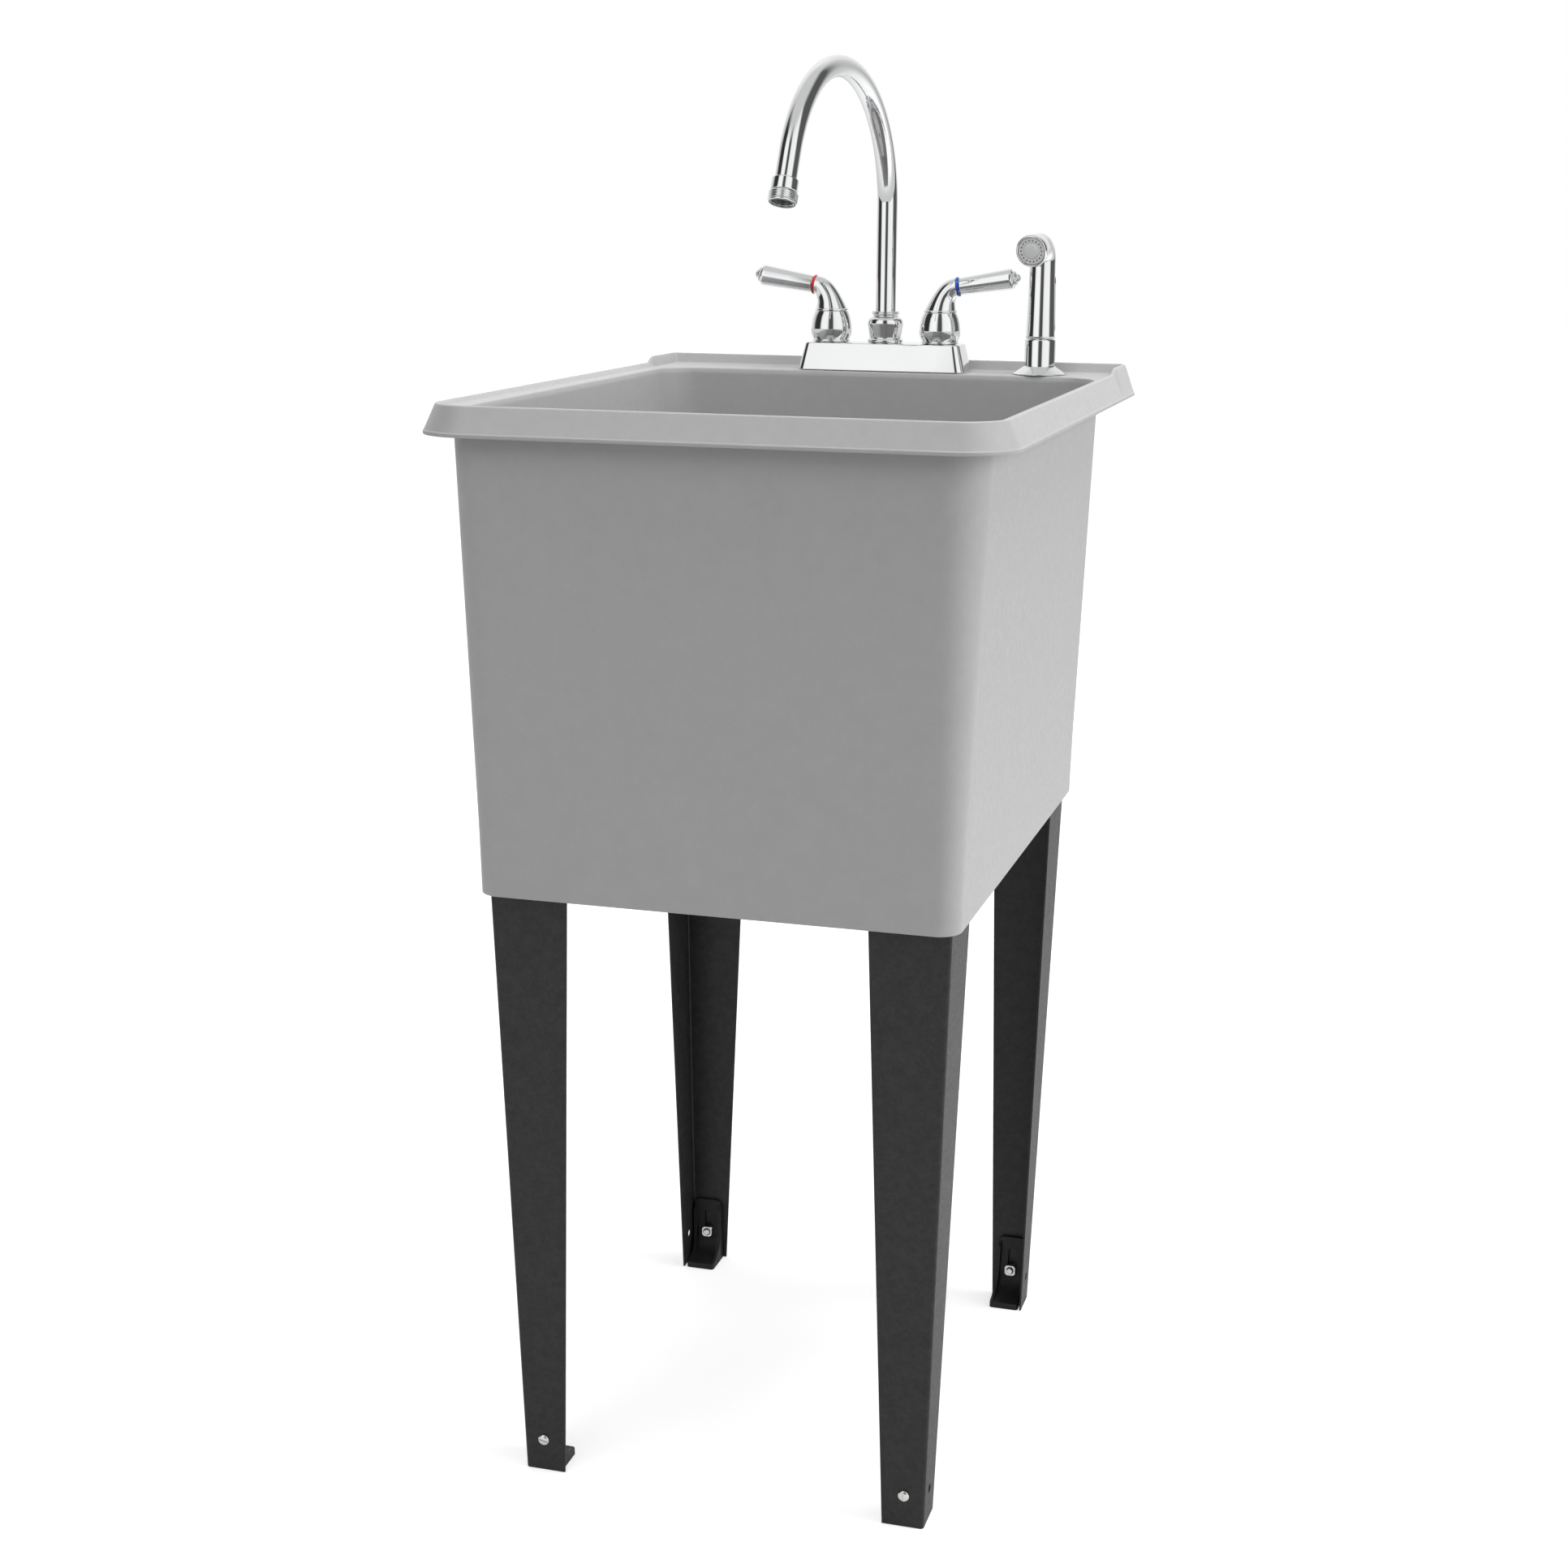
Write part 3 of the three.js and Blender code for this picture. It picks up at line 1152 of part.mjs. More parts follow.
function pinAlongX(radius, length) {
  const geometry = new THREE.CylinderGeometry(radius, radius, length, COARSE);
  return solid(geometry.rotateZ(Math.PI / 2).translate(0, TRIGGER_PIN_Y, PIN_HEIGHT));
}

function trigger() {
  const shape = sector(TRIGGER_RADIUS - TRIGGER_SHEET, TRIGGER_RADIUS, TRIGGER_SPAN);
  const options = { depth: TRIGGER_LENGTH, bevelEnabled: false, curveSegments: 8 };
  const paddle = new THREE.ExtrudeGeometry(shape, options).translate(0, 0, TRIGGER_TOP - TRIGGER_LENGTH);
  paddle.translate(0, -TRIGGER_PIN_Y, -PIN_HEIGHT).rotateX(radians(TRIGGER_STANDOFF));
  paddle.translate(0, TRIGGER_PIN_Y, PIN_HEIGHT);
  const half = TRIGGER_LUG_WIDTH / 2;
  const reach = [TRIGGER_PIN_Y - 3, TRIGGER_RADIUS - TRIGGER_SHEET / 2];
  const lug = box([-half, half], reach, [PIN_HEIGHT - 6, PIN_HEIGHT + 3]);
  return cut(joined(solid(paddle), lug), pinAlongX(TRIGGER_PIN_RADIUS + GAP, 40));
}

function sprayHeadRing() {
  const r = SPRAY_HEAD_RADIUS;
  const start = GAP;
  return revolve([
    [FACE_RADIUS + GAP, start],
    [r - 0.4, start],
    [r, start + 1.2],
    [r, start + HEAD_RING_LENGTH - 1.4],
    [r - 0.8, start + HEAD_RING_LENGTH - 0.3],
    [r - 1.6, start + HEAD_RING_LENGTH],
    [FACE_RADIUS + GAP, start + HEAD_RING_LENGTH - 0.5],
  ]);
}

function sprayFace() {
  const front = GAP + FACE_DEPTH;
  return revolve([
    [0, GAP],
    [FACE_RADIUS, GAP],
    [FACE_RADIUS, front],
    [FACE_RADIUS * 0.56, front],
    [FACE_RADIUS * 0.5, front + 0.8],
    [0, front + 1.1],
  ]);
}

function sprayHoseNipple() {
  const top = HOLDER_HEIGHT + GAP - SPRAY_STEM_LENGTH + 13;
  const r = SPRAY_STEM_RADIUS - 3 - GAP;
  const low = HOLDER_HEIGHT + GAP - SPRAY_STEM_LENGTH - GAP;
  return revolve(
    [
      [2.2, low - 14],
      [r - 1, low - 14],
      [r, low - 11],
      [r - 0.8, low - 9],
      [r, low - 6],
      [r - 0.8, low - 4],
      [SPRAY_STEM_RADIUS - 0.5, low - 3],
      [SPRAY_STEM_RADIUS - 0.5, low],
      [r, low],
      [r, top],
      [2.2, top],
    ],
    COARSE,
  );
}

function sprayer() {
  const group = new THREE.Group();
  group.position.set(SPRAY_X, TAP_Y, DECK);
  group.add(piece("spray_holder", sprayHolder(), "chrome"));
  group.add(piece("spray_holder_nut", sprayHolderNut(), "nylon"));
  const gun = new THREE.Group();
  gun.rotation.z = radians(-SPRAY_TURN);
  gun.add(piece("spray_body", sprayBody(), "chrome"));
  gun.add(piece("spray_hose_nipple", sprayHoseNipple(), "brass"));
  gun.add(piece("spray_trigger", trigger(), "chrome"));
  gun.add(piece("spray_trigger_pin", pinAlongX(TRIGGER_PIN_RADIUS, TRIGGER_PIN_LENGTH), "zinc"));
  const end = neckEnd();
  const head = new THREE.Group();
  head.position.set(0, -end.x, end.z);
  head.rotation.x = radians(end.tilt);
  head.add(piece("spray_head_ring", sprayHeadRing(), "chrome"));
  head.add(piece("spray_face", sprayFace(), "face"));
  gun.add(head);
  group.add(gun);
  return group;
}

// ---------------------------------------------------------------- assembly

const sink = new THREE.Group();
sink.add(tub());
sink.add(cornerStand("front_left", -1, -1));
sink.add(cornerStand("front_right", 1, -1));
sink.add(cornerStand("back_left", -1, 1));
sink.add(cornerStand("back_right", 1, 1));
sink.add(drain());

const tap = new THREE.Group();
tap.position.set(0, TAP_Y, DECK);
tap.add(tapCover(), tapGasket(), tapBody());
tap.add(shankNut("hot_mounting_nut", -HANDLE_SPACING / 2));
tap.add(shankNut("cold_mounting_nut", HANDLE_SPACING / 2));
tap.add(handle("hot", -HANDLE_SPACING / 2, 180, "red"));
tap.add(handle("cold", HANDLE_SPACING / 2, 0, "blue"));
tap.add(piece("spout_collar", spoutCollar(), "chrome"));
tap.add(spout());
sink.add(tap);
sink.add(sprayer());

export default sink;
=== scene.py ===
"""Looks of a free-standing utility laundry sink: moulded tub, angle legs, gooseneck tap and side sprayer."""

import json
import math

import bmesh
import bpy
from mathutils import Matrix, Vector


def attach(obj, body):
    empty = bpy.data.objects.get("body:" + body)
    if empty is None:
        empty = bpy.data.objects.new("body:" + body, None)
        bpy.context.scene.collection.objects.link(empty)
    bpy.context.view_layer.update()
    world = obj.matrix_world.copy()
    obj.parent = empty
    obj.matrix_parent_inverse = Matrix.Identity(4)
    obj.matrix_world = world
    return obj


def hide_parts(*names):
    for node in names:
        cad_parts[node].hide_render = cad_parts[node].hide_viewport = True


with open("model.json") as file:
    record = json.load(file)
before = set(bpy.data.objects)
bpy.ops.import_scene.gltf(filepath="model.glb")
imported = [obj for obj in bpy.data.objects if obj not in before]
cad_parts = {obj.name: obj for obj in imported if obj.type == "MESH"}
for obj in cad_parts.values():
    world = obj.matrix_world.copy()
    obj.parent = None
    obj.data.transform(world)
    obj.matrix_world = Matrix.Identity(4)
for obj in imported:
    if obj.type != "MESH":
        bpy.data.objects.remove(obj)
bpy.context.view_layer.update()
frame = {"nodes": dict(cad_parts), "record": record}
MM = 0.001

# Levels and places in millimetres, in the frame of the CAD.
SKIRT, KNEE = 499.0, 552.0  # lower edge of the tub, and the line where its walls begin
FLOOR_LOW, FLOOR_EDGE = 552.5, 556.5  # the bowl's floor at the drain and at the walls
RIM_EDGE, RIM_UNDER = 853.0, 868.0  # lower edge of the rim, and where the walls meet it
DECK, CREST = 871.5, 876.0  # the tap deck, and the top of the rim
TAP_Y, HANDLE_X = 253.5, 50.8
DRAIN_Y, DRAIN_SEAT = -17.9, FLOOR_LOW - 2.4
LEG_X, LEG_Y = 168.5, {-1: 236.3, 1: 204.0}  # outer corners of the legs on the floor: front -1, back 1
LEG_TOP = 550.575


def turn(degrees, axis):
    return Matrix.Rotation(math.radians(degrees), 4, axis)


def shift(x, y, z):
    return Matrix.Translation((x, y, z))


# ---------------------------------------------------------------- materials


class Tree:
    """A node tree whose nodes are made and linked in one go."""

    def __init__(self, tree):
        self.tree = tree

    def add(self, kind, inputs=None, **settings):
        """A new node. Each of its inputs takes a value, or the output that feeds it."""
        node = self.tree.nodes.new(kind)
        for key, value in settings.items():
            setattr(node, key, value)
        for key, value in (inputs or {}).items():
            if isinstance(value, bpy.types.NodeSocket):
                self.tree.links.new(value, node.inputs[key])
            else:
                node.inputs[key].default_value = value
        return node

    def compute(self, operation, *values):
        """A sum worked out from values and outputs."""
        return self.add("ShaderNodeMath", dict(enumerate(values)), operation=operation).outputs["Value"]

    def spread(self, source, low, high, start=0.3, end=0.7):
        """A value taken from the range start to end over to the range low to high."""
        inputs = {"Value": source, "From Min": start, "From Max": end, "To Min": low, "To Max": high}
        return self.add("ShaderNodeMapRange", inputs).outputs["Result"]


class Nodes(Tree):
    """A new material's node tree, with its shader and object-space coordinates."""

    def __init__(self, name, colour, roughness, metallic=0.0):
        self.material = bpy.data.materials.new(name)
        self.material.use_nodes = True
        super().__init__(self.material.node_tree)
        self.shader = self.tree.nodes["Principled BSDF"]
        self.shader.inputs["Base Color"].default_value = (*colour, 1)
        self.shader.inputs["Roughness"].default_value = roughness
        self.shader.inputs["Metallic"].default_value = metallic
        self.coords = self.add("ShaderNodeTexCoord").outputs["Object"]

    def feed(self, name, source):
        """Links an output to an input of the shader."""
        self.tree.links.new(source, self.shader.inputs[name])

    def noise(self, scale, detail=2.0, rough=0.5, stretch=(1, 1, 1)):
        mapping = self.add("ShaderNodeMapping", {"Scale": stretch, "Vector": self.coords})
        inputs = {"Scale": scale, "Detail": detail, "Roughness": rough, "Vector": mapping.outputs["Vector"]}
        return self.add("ShaderNodeTexNoise", inputs).outputs["Fac"]

    def tint(self, source, dark, light, start=0.3, end=0.7):
        ramp = self.add("ShaderNodeValToRGB", {"Fac": source})
        ramp.color_ramp.elements[0].position = start
        ramp.color_ramp.elements[1].position = end
        ramp.color_ramp.elements[0].color = (*dark, 1)
        ramp.color_ramp.elements[1].color = (*light, 1)
        self.feed("Base Color", ramp.outputs["Color"])

    def roughen(self, source, low, high, start=0.3, end=0.7):
        self.feed("Roughness", self.spread(source, low, high, start, end))

    def bump(self, *layers):
        """Each layer is (height source, strength, depth in millimetres)."""
        below = {}
        for source, strength, depth in layers:
            inputs = {"Strength": strength, "Distance": depth * MM, "Height": source, **below}
            below = {"Normal": self.add("ShaderNodeBump", inputs).outputs["Normal"]}
        self.feed("Normal", below["Normal"])


def scaled(colour, factor):
    return tuple(min(1.0, c * factor) for c in colour)


def moulded(
    name, colour, roughness, grain,
    depth=0.02, mottle=0.04, cloud=9.0, gloss=0.5, detail=(3.0, 0.6), span=(0.3, 0.7),
):
    """Moulded plastic or paint: fine grain, faint clouds of shade and uneven gloss."""
    n = Nodes(name, colour, roughness)
    n.shader.inputs["Specular IOR Level"].default_value = gloss
    clouds = n.noise(cloud, *detail)
    n.tint(clouds, scaled(colour, 1 - mottle), scaled(colour, 1 + mottle), *span)
    n.roughen(n.noise(cloud * 3, 2.0), roughness - 0.05, roughness + 0.05)
    n.bump((n.noise(grain, 2.0, 0.6), 0.6, depth), (n.noise(grain / 12, 2.0), 0.35, depth * 3))
    return n.material


def plated(name, colour, roughness, smear):
    """Bright metal plate: faint smears in the gloss over a hardly uneven, polished surface."""
    n = Nodes(name, colour, roughness, 1.0)
    n.tint(n.noise(14, 3.0), scaled(colour, 0.96), scaled(colour, 1.02))
    n.roughen(n.noise(35, 4.0, 0.6), roughness, roughness + smear, 0.45, 0.8)
    n.bump((n.noise(28, 2.0), 0.25, 0.12))
    return n.material


def machined(name, colour, roughness):
    """Turned or cast metal: fine lines round the turning axis and blotchy tone."""
    n = Nodes(name, colour, roughness, 1.0)
    n.tint(n.noise(60, 4.0, 0.7), scaled(colour, 0.78), scaled(colour, 1.12))
    n.roughen(n.noise(90, 3.0), roughness - 0.08, roughness + 0.12)
    n.bump((n.noise(500, 2.0, 0.5, (1, 1, 8)), 0.3, 0.03))
    return n.material


def mesh_screen(name, colour):
    """Woven wire: two crossed waves a bit under a millimetre apart."""
    n = Nodes(name, colour, 0.45, 0.6)
    waves = [
        n.add("ShaderNodeTexWave", {"Scale": 380, "Vector": n.coords}, bands_direction=axis).outputs["Fac"]
        for axis in ("X", "Y")
    ]
    weave = n.compute("MULTIPLY", *waves)
    n.tint(weave, scaled(colour, 0.25), scaled(colour, 2.2), 0.2, 0.8)
    n.bump((weave, 0.7, 0.25))
    return n.material


FINISHES = {  # by material slot
    "tub": moulded(
        "moulded_grey_tub", (0.39, 0.39, 0.394), 0.36, 1300,
        depth=0.014, mottle=0.04, cloud=70, gloss=0.62, detail=(5.0, 0.85),
    ),
    "legs": moulded(
        "black_powder_coat", (0.018, 0.018, 0.0185), 0.46, 1100,
        depth=0.06, mottle=0.36, cloud=110, gloss=0.38, detail=(5.0, 0.9), span=(0.38, 0.62),
    ),
    "feet": moulded(
        "black_foot_moulding", (0.011, 0.011, 0.012), 0.5, 900, depth=0.03, mottle=0.12, cloud=40, gloss=0.35
    ),
    "nylon": moulded("natural_nylon", (0.72, 0.7, 0.63), 0.48, 800, depth=0.03),
    "rubber": moulded("black_rubber", (0.02, 0.02, 0.021), 0.72, 600, depth=0.05, mottle=0.15),
    "spray_face": moulded("grey_spray_face", (0.85, 0.86, 0.85), 0.42, 900, depth=0.004),
    "hot_index": moulded("red_index", (0.6, 0.03, 0.035), 0.28, 1500, depth=0.008),
    "cold_index": moulded("blue_index", (0.02, 0.09, 0.5), 0.28, 1500, depth=0.008),
    "chrome": plated("chrome_plate", (0.9, 0.905, 0.91), 0.008, 0.02),
    "chrome_plastic": plated("chrome_plate_on_plastic", (0.9, 0.905, 0.905), 0.015, 0.03),
    "drain_steel": plated("polished_drain_steel", (0.62, 0.62, 0.61), 0.16, 0.08),
    "fasteners": plated("bright_zinc", (0.72, 0.72, 0.7), 0.2, 0.1),
    "brass": machined("turned_brass", (0.62, 0.46, 0.2), 0.3),
    "screen": mesh_screen("aerator_mesh", (0.09, 0.09, 0.09)),
}
# Painted shade: near-black discs on the sprayer face stand in for the shade inside its jet holes.
JET_HOLE_SHADE = moulded("painted_shade_jet_holes", (0.012, 0.012, 0.012), 0.6, 1500, depth=0.01)


# ---------------------------------------------------------------- mesh helpers


def piece(name, verts, faces, body, slot, replaces=None, place=None, sharp=38.0, material=None):
    """A mesh from points in millimetres, smooth except at edges sharper than an angle."""
    mesh = bpy.data.meshes.new(name)
    place = place or Matrix.Identity(4)
    mesh.from_pydata([(place @ Vector(v)) * MM for v in verts], [], faces)
    mesh.validate()
    obj = bpy.data.objects.new(name, mesh)
    bpy.context.scene.collection.objects.link(obj)
    tidy(obj, sharp)
    mesh.materials.append(material or FINISHES[slot])
    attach(obj, body)
    if replaces:
        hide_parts(replaces)
    return obj


def tidy(obj, sharp):
    """Merges doubled points, turns every face outwards and sets smooth shading with sharp creases."""
    bm = bmesh.new()
    bm.from_mesh(obj.data)
    bmesh.ops.remove_doubles(bm, verts=bm.verts, dist=2e-6)
    bmesh.ops.dissolve_degenerate(bm, edges=bm.edges, dist=1e-7)
    bmesh.ops.recalc_face_normals(bm, faces=bm.faces)
    bm.to_mesh(obj.data)
    bm.free()
    obj.data.shade_smooth()
    obj.data.set_sharp_from_angle(angle=math.radians(sharp))


def joined(meshes):
    """Several pairs of points and faces as one."""
    verts, faces = [], []
    for more, its_faces in meshes:
        faces += [tuple(i + len(verts) for i in face) for face in its_faces]
        verts += more
    return verts, faces


def arc(cx, cy, radius, start, end, steps):
    """Points on an arc, angles in degrees."""
    angles = [math.radians(start + (end - start) * i / steps) for i in range(steps + 1)]
    return [(cx + radius * math.cos(a), cy + radius * math.sin(a)) for a in angles]


def rounded_rectangle(width, depth, radius, z, steps=10):
    """A level ring of points, from the right front corner round to the left."""
    x, y = width / 2 - radius, depth / 2 - radius
    corners = ((x, -y, -90), (x, y, 0), (-x, y, 90), (-x, -y, 180))
    return [(a, b, z) for cx, cy, start in corners for a, b in arc(cx, cy, radius, start, start + 90, steps)]


def rounded(points, radius, closed=False, steps=4):
    """A polyline with its corners turned into small curves. A point's third number is a radius of its own."""
    count = len(points)
    result = []
    for i, point in enumerate(points):
        here = Vector(point[:2])
        if not closed and i in (0, count - 1):
            result.append(tuple(here))
            continue
        before = Vector(points[i - 1][:2])
        after = Vector(points[(i + 1) % count][:2])
        size = point[2] if len(point) > 2 else radius
        into, out = before - here, after - here
        reach = min(size, into.length * 0.45, out.length * 0.45)
        if reach < 1e-6 or abs(into.normalized().cross(out.normalized())) < 0.05:
            result.append(tuple(here))
            continue
        start = here + into.normalized() * reach
        end = here + out.normalized() * reach
        for k in range(steps + 1):
            t = k / steps
            spot = start * (1 - t) ** 2 + here * (2 * t * (1 - t)) + end * t**2
            result.append(tuple(spot))
    return result


def ring_faces(count, rings, loop=False):
    """The faces between rings of count points each, and back to the first ring in a loop."""
    faces = []
    for j in range(rings if loop else rings - 1):
        low, high = j * count, ((j + 1) % rings) * count
        for i in range(count):
            k = (i + 1) % count
            faces.append((low + i, low + k, high + k, high + i))
    return faces


def lathe_mesh(profile, sides, closed):
    """Points and faces of a profile of (radius, height) turned about Z."""
    angles = [2 * math.pi * i / sides for i in range(sides)]
    verts = [(r * math.cos(a), r * math.sin(a), z) for r, z in profile for a in angles]
    return verts, ring_faces(sides, len(profile), closed)


def lathe(name, profile, body, slot, radius=0.3, sides=64, **options):
    """A turned piece. A profile that starts and ends on the axis is solid, any other is a closed ring."""
    closed = profile[0][0] > 1e-6 or profile[-1][0] > 1e-6
    line = rounded(profile, radius, closed)
    return piece(name, *lathe_mesh(line, sides, closed), body, slot, **options)


def loft(name, rings, body, slot, loop=False, **options):
    """A skin over rings of equal length, its ends filled unless it is a loop."""
    count = len(rings[0])
    faces = ring_faces(count, len(rings), loop)
    if not loop:
        faces.append(tuple(reversed(range(count))))
        faces.append(tuple((len(rings) - 1) * count + i for i in range(count)))
    return piece(name, [p for ring in rings for p in ring], faces, body, slot, **options)


def soften(stages, loop=False, steps=5):
    """Rings out of (ring, radius), with more of them where the skin turns in a curve of that radius."""
    result = []
    count = len(stages)
    for i, (ring, size) in enumerate(stages):
        if not size or (not loop and i in (0, count - 1)):
            result.append(ring)
            continue
        curve = [[] for _ in range(steps + 1)]
        for p, a, b in zip(ring, stages[i - 1][0], stages[(i + 1) % count][0]):
            p, a, b = Vector(p), Vector(a), Vector(b)
            start = p + (a - p) * min(0.48, size / max((a - p).length, 1e-6))
            end = p + (b - p) * min(0.48, size / max((b - p).length, 1e-6))
            for k in range(steps + 1):
                t = k / steps
                curve[k].append(tuple(start * (1 - t) ** 2 + p * (2 * t * (1 - t)) + end * t**2))
        result.extend(curve)
    return result


def tilted_ring(x, z, tilt, points):
    """Points of (radius, angle) in a plane round a bent line in XZ, tilted in degrees from +Z towards +X."""
    a = math.radians(tilt)
    along, across = Vector((math.cos(a), 0, -math.sin(a))), Vector((0, 1, 0))
    return [tuple(Vector((x, 0, z)) + r * (math.cos(t) * along + math.sin(t) * across)) for r, t in points]


def circle_rings(stations, sides=56):
    """Circles along a bent line in the XZ plane: (x, z, tilt, radius)."""
    angles = [2 * math.pi * i / sides for i in range(sides)]
    return [tilted_ring(x, z, tilt, [(radius, t) for t in angles]) for x, z, tilt, radius in stations]


def smooth_stations(stations, steps=7):
    """The same stations with more between them, on a curve through them."""

    def between(a, b, c, d, t):
        return 0.5 * (
            2 * b + (c - a) * t + (2 * a - 5 * b + 4 * c - d) * t * t + (3 * b - a - 3 * c + d) * t**3
        )

    result = []
    last = len(stations) - 1
    for i in range(last):
        near = [stations[min(max(i + k, 0), last)] for k in (-1, 0, 1, 2)]
        for k in range(steps):
            result.append(tuple(between(*values, k / steps) for values in zip(*near)))
    result.append(stations[-1])
    return result


def block_mesh(x, y, z):
    """Points and faces of a box between a pair of values on each axis."""
    verts = [(a, b, c) for a in x for b in y for c in z]
    faces = [(0, 1, 3, 2), (4, 6, 7, 5), (0, 4, 5, 1), (2, 3, 7, 6), (0, 2, 6, 4), (1, 5, 7, 3)]
    return verts, faces


def bevelled(obj, width, limit=30):
    """Rounds the edges of a blocky piece that are sharper than an angle."""
    modifier = obj.modifiers.new("edges", "BEVEL")
    modifier.width = width * MM
    modifier.segments = 2
    modifier.limit_method = "ANGLE"
    modifier.angle_limit = math.radians(limit)
    modifier.harden_normals = True


# ---------------------------------------------------------------- tub

CORNER = 14  # spans of a rounded corner
LIP_START, LIP_RAMP, LIP_RISE = 211.0, 16.0, 5.0  # the raised back lip, along y and up
RIM_X, RIM_Y = 225.5, 295.5  # half the width and depth over the rim
RIM_FRONT_CORNER, RIM_BACK_CORNER = 45.0, 16.0  # radii
WALL = (204.5, 278.2, 234.0)  # outside of the walls at the rim: half width, front and back
TAPER = (13.2, 12.4, 4.0)  # how much less each is at the knee
WALL_CORNER, CORNER_TAPER = 33.0, 15.0
SKIRT_TAPER = 1.1  # from the knee to the skirt's edge
SHELL, SOFTER = 3.8, 6.0  # thickness of the walls, and how much rounder their corners are inside
MOUTH = (200.7, 274.4, 230.2, 35.2, 35.2)  # the bowl under the deck: half width, front, back, corner radii
FLOOR_CURVE = 18.0


def outline(side, front, back, front_radius, back_radius, height):
    """A rounded outline of the tub with points all along its sides. height may depend on y."""
    rise = height if callable(height) else lambda y: height
    front_x, back_x = side - front_radius, side - back_radius
    low, high = front_radius - front, back - back_radius
    start, end = LIP_START - 1, LIP_START + LIP_RAMP + 1
    if high < end:  # an inner outline, which has no lip
        start, end = low + 0.862 * (high - low), low + 0.9 * (high - low)
    marks = [low + (start - low) * k / 13 for k in range(1, 13)]
    marks += [start + (end - start) * k / 16 for k in range(17)] + [(end + high) / 2]

    def across(x, y):
        return [(x - 2 * x * (i / 12), y) for i in range(1, 12)]

    points = arc(front_x, low, front_radius, -90, 0, CORNER)
    points += [(side, y) for y in marks]
    points += arc(back_x, high, back_radius, 0, 90, CORNER)
    points += across(back_x, back)
    points += arc(-back_x, high, back_radius, 90, 180, CORNER)
    points += [(-side, y) for y in reversed(marks)]
    points += arc(-front_x, low, front_radius, 180, 270, CORNER)
    points += across(-front_x, -front)
    return [(x, y, rise(y)) for x, y in points]


def wall(z, inset=0.0, rounder=0.0):
    """The outer face of the tub wall at a height, inset by a distance."""
    share = 1 - max(0.0, (z - KNEE) / (RIM_UNDER - KNEE))
    fall = max(0.0, (KNEE - z) / (KNEE - SKIRT))
    radius = WALL_CORNER - CORNER_TAPER * share - inset + rounder
    side, front, back = (top - less * share - SKIRT_TAPER * fall - inset for top, less in zip(WALL, TAPER))
    return outline(side, front, back, radius, radius, z)


def rim(inset, height):
    """The turned-down edge of the rim, inset by a distance."""
    x, y = RIM_X - inset, RIM_Y - inset
    return outline(x, y, y, RIM_FRONT_CORNER - inset, max(RIM_BACK_CORNER - inset, 4.0), height)


def lip(y):
    """How far the back lip stands over the rim."""
    share = min(max((y - LIP_START) / LIP_RAMP, 0.0), 1.0)
    return LIP_RISE * share * share * (3 - 2 * share)


def crest(drop):
    """The height, by y, of a line that runs below the crest of the rim."""
    return lambda y: CREST - drop + lip(y)


def around_drain(ring, radius, z):
    """A circle round the drain, point for point in line with those of a ring."""
    result = []
    for x, y, _ in ring:
        way = Vector((x, y - DRAIN_Y)).normalized()
        result.append((radius * way.x, DRAIN_Y + radius * way.y, z))
    return result


def tub_rings():
    """The skin of the tub from the outside of the skirt, over the rim, down the bowl and back underneath."""

    def inner(z, inset=0.0):
        return wall(z, SHELL + inset, SOFTER)

    def shelf(by, z):
        return outline(*(size + by for size in MOUTH), z)

    floor_edge = inner(FLOOR_EDGE, FLOOR_CURVE)
    under = DRAIN_SEAT - 4.5
    drain = [
        (40.0, FLOOR_LOW + 0.4, 3.0),
        (33.3, FLOOR_LOW, 0.5),
        (33.3, DRAIN_SEAT, 0.0),
        (24.3, DRAIN_SEAT, 0.0),
        (24.3, under, 0.5),
        (37.0, under, 1.0),
    ]
    stages = [
        (wall(SKIRT), 0.8),
        (wall(KNEE), 10.0),
        (wall(RIM_UNDER), 0.8),
        (rim(10.625, RIM_UNDER), 2.0),
        (rim(3.5, RIM_EDGE), 0.8),
        (rim(0.0, RIM_EDGE), 0.8),
        (rim(0.0, RIM_EDGE + 2.6), 0.5),
        (rim(0.9, RIM_EDGE + 3.5), 0.5),
        (rim(8.6, crest(2.6)), 0.0),
        (rim(9.6, crest(0.35)), 1.6),
        (rim(12.0, crest(0.0)), 1.6),
        (rim(15.0, DECK + 0.3), 1.5),
        (shelf(2.8, DECK), 0.0),
        (shelf(1.0, DECK - 0.4), 1.2),
        (inner(DECK - 4.5), 1.5),
        (inner(FLOOR_EDGE + FLOOR_CURVE), 16.0),
        (inner(FLOOR_EDGE + 5.3, 5.3), 9.0),
        (floor_edge, 14.0),
        *((around_drain(floor_edge, radius, z), curve) for radius, z, curve in drain),
        (wall(KNEE - 1.1, SHELL), 2.0),
        (wall(SKIRT, SHELL), 0.8),
    ]
    return soften(stages, loop=True)


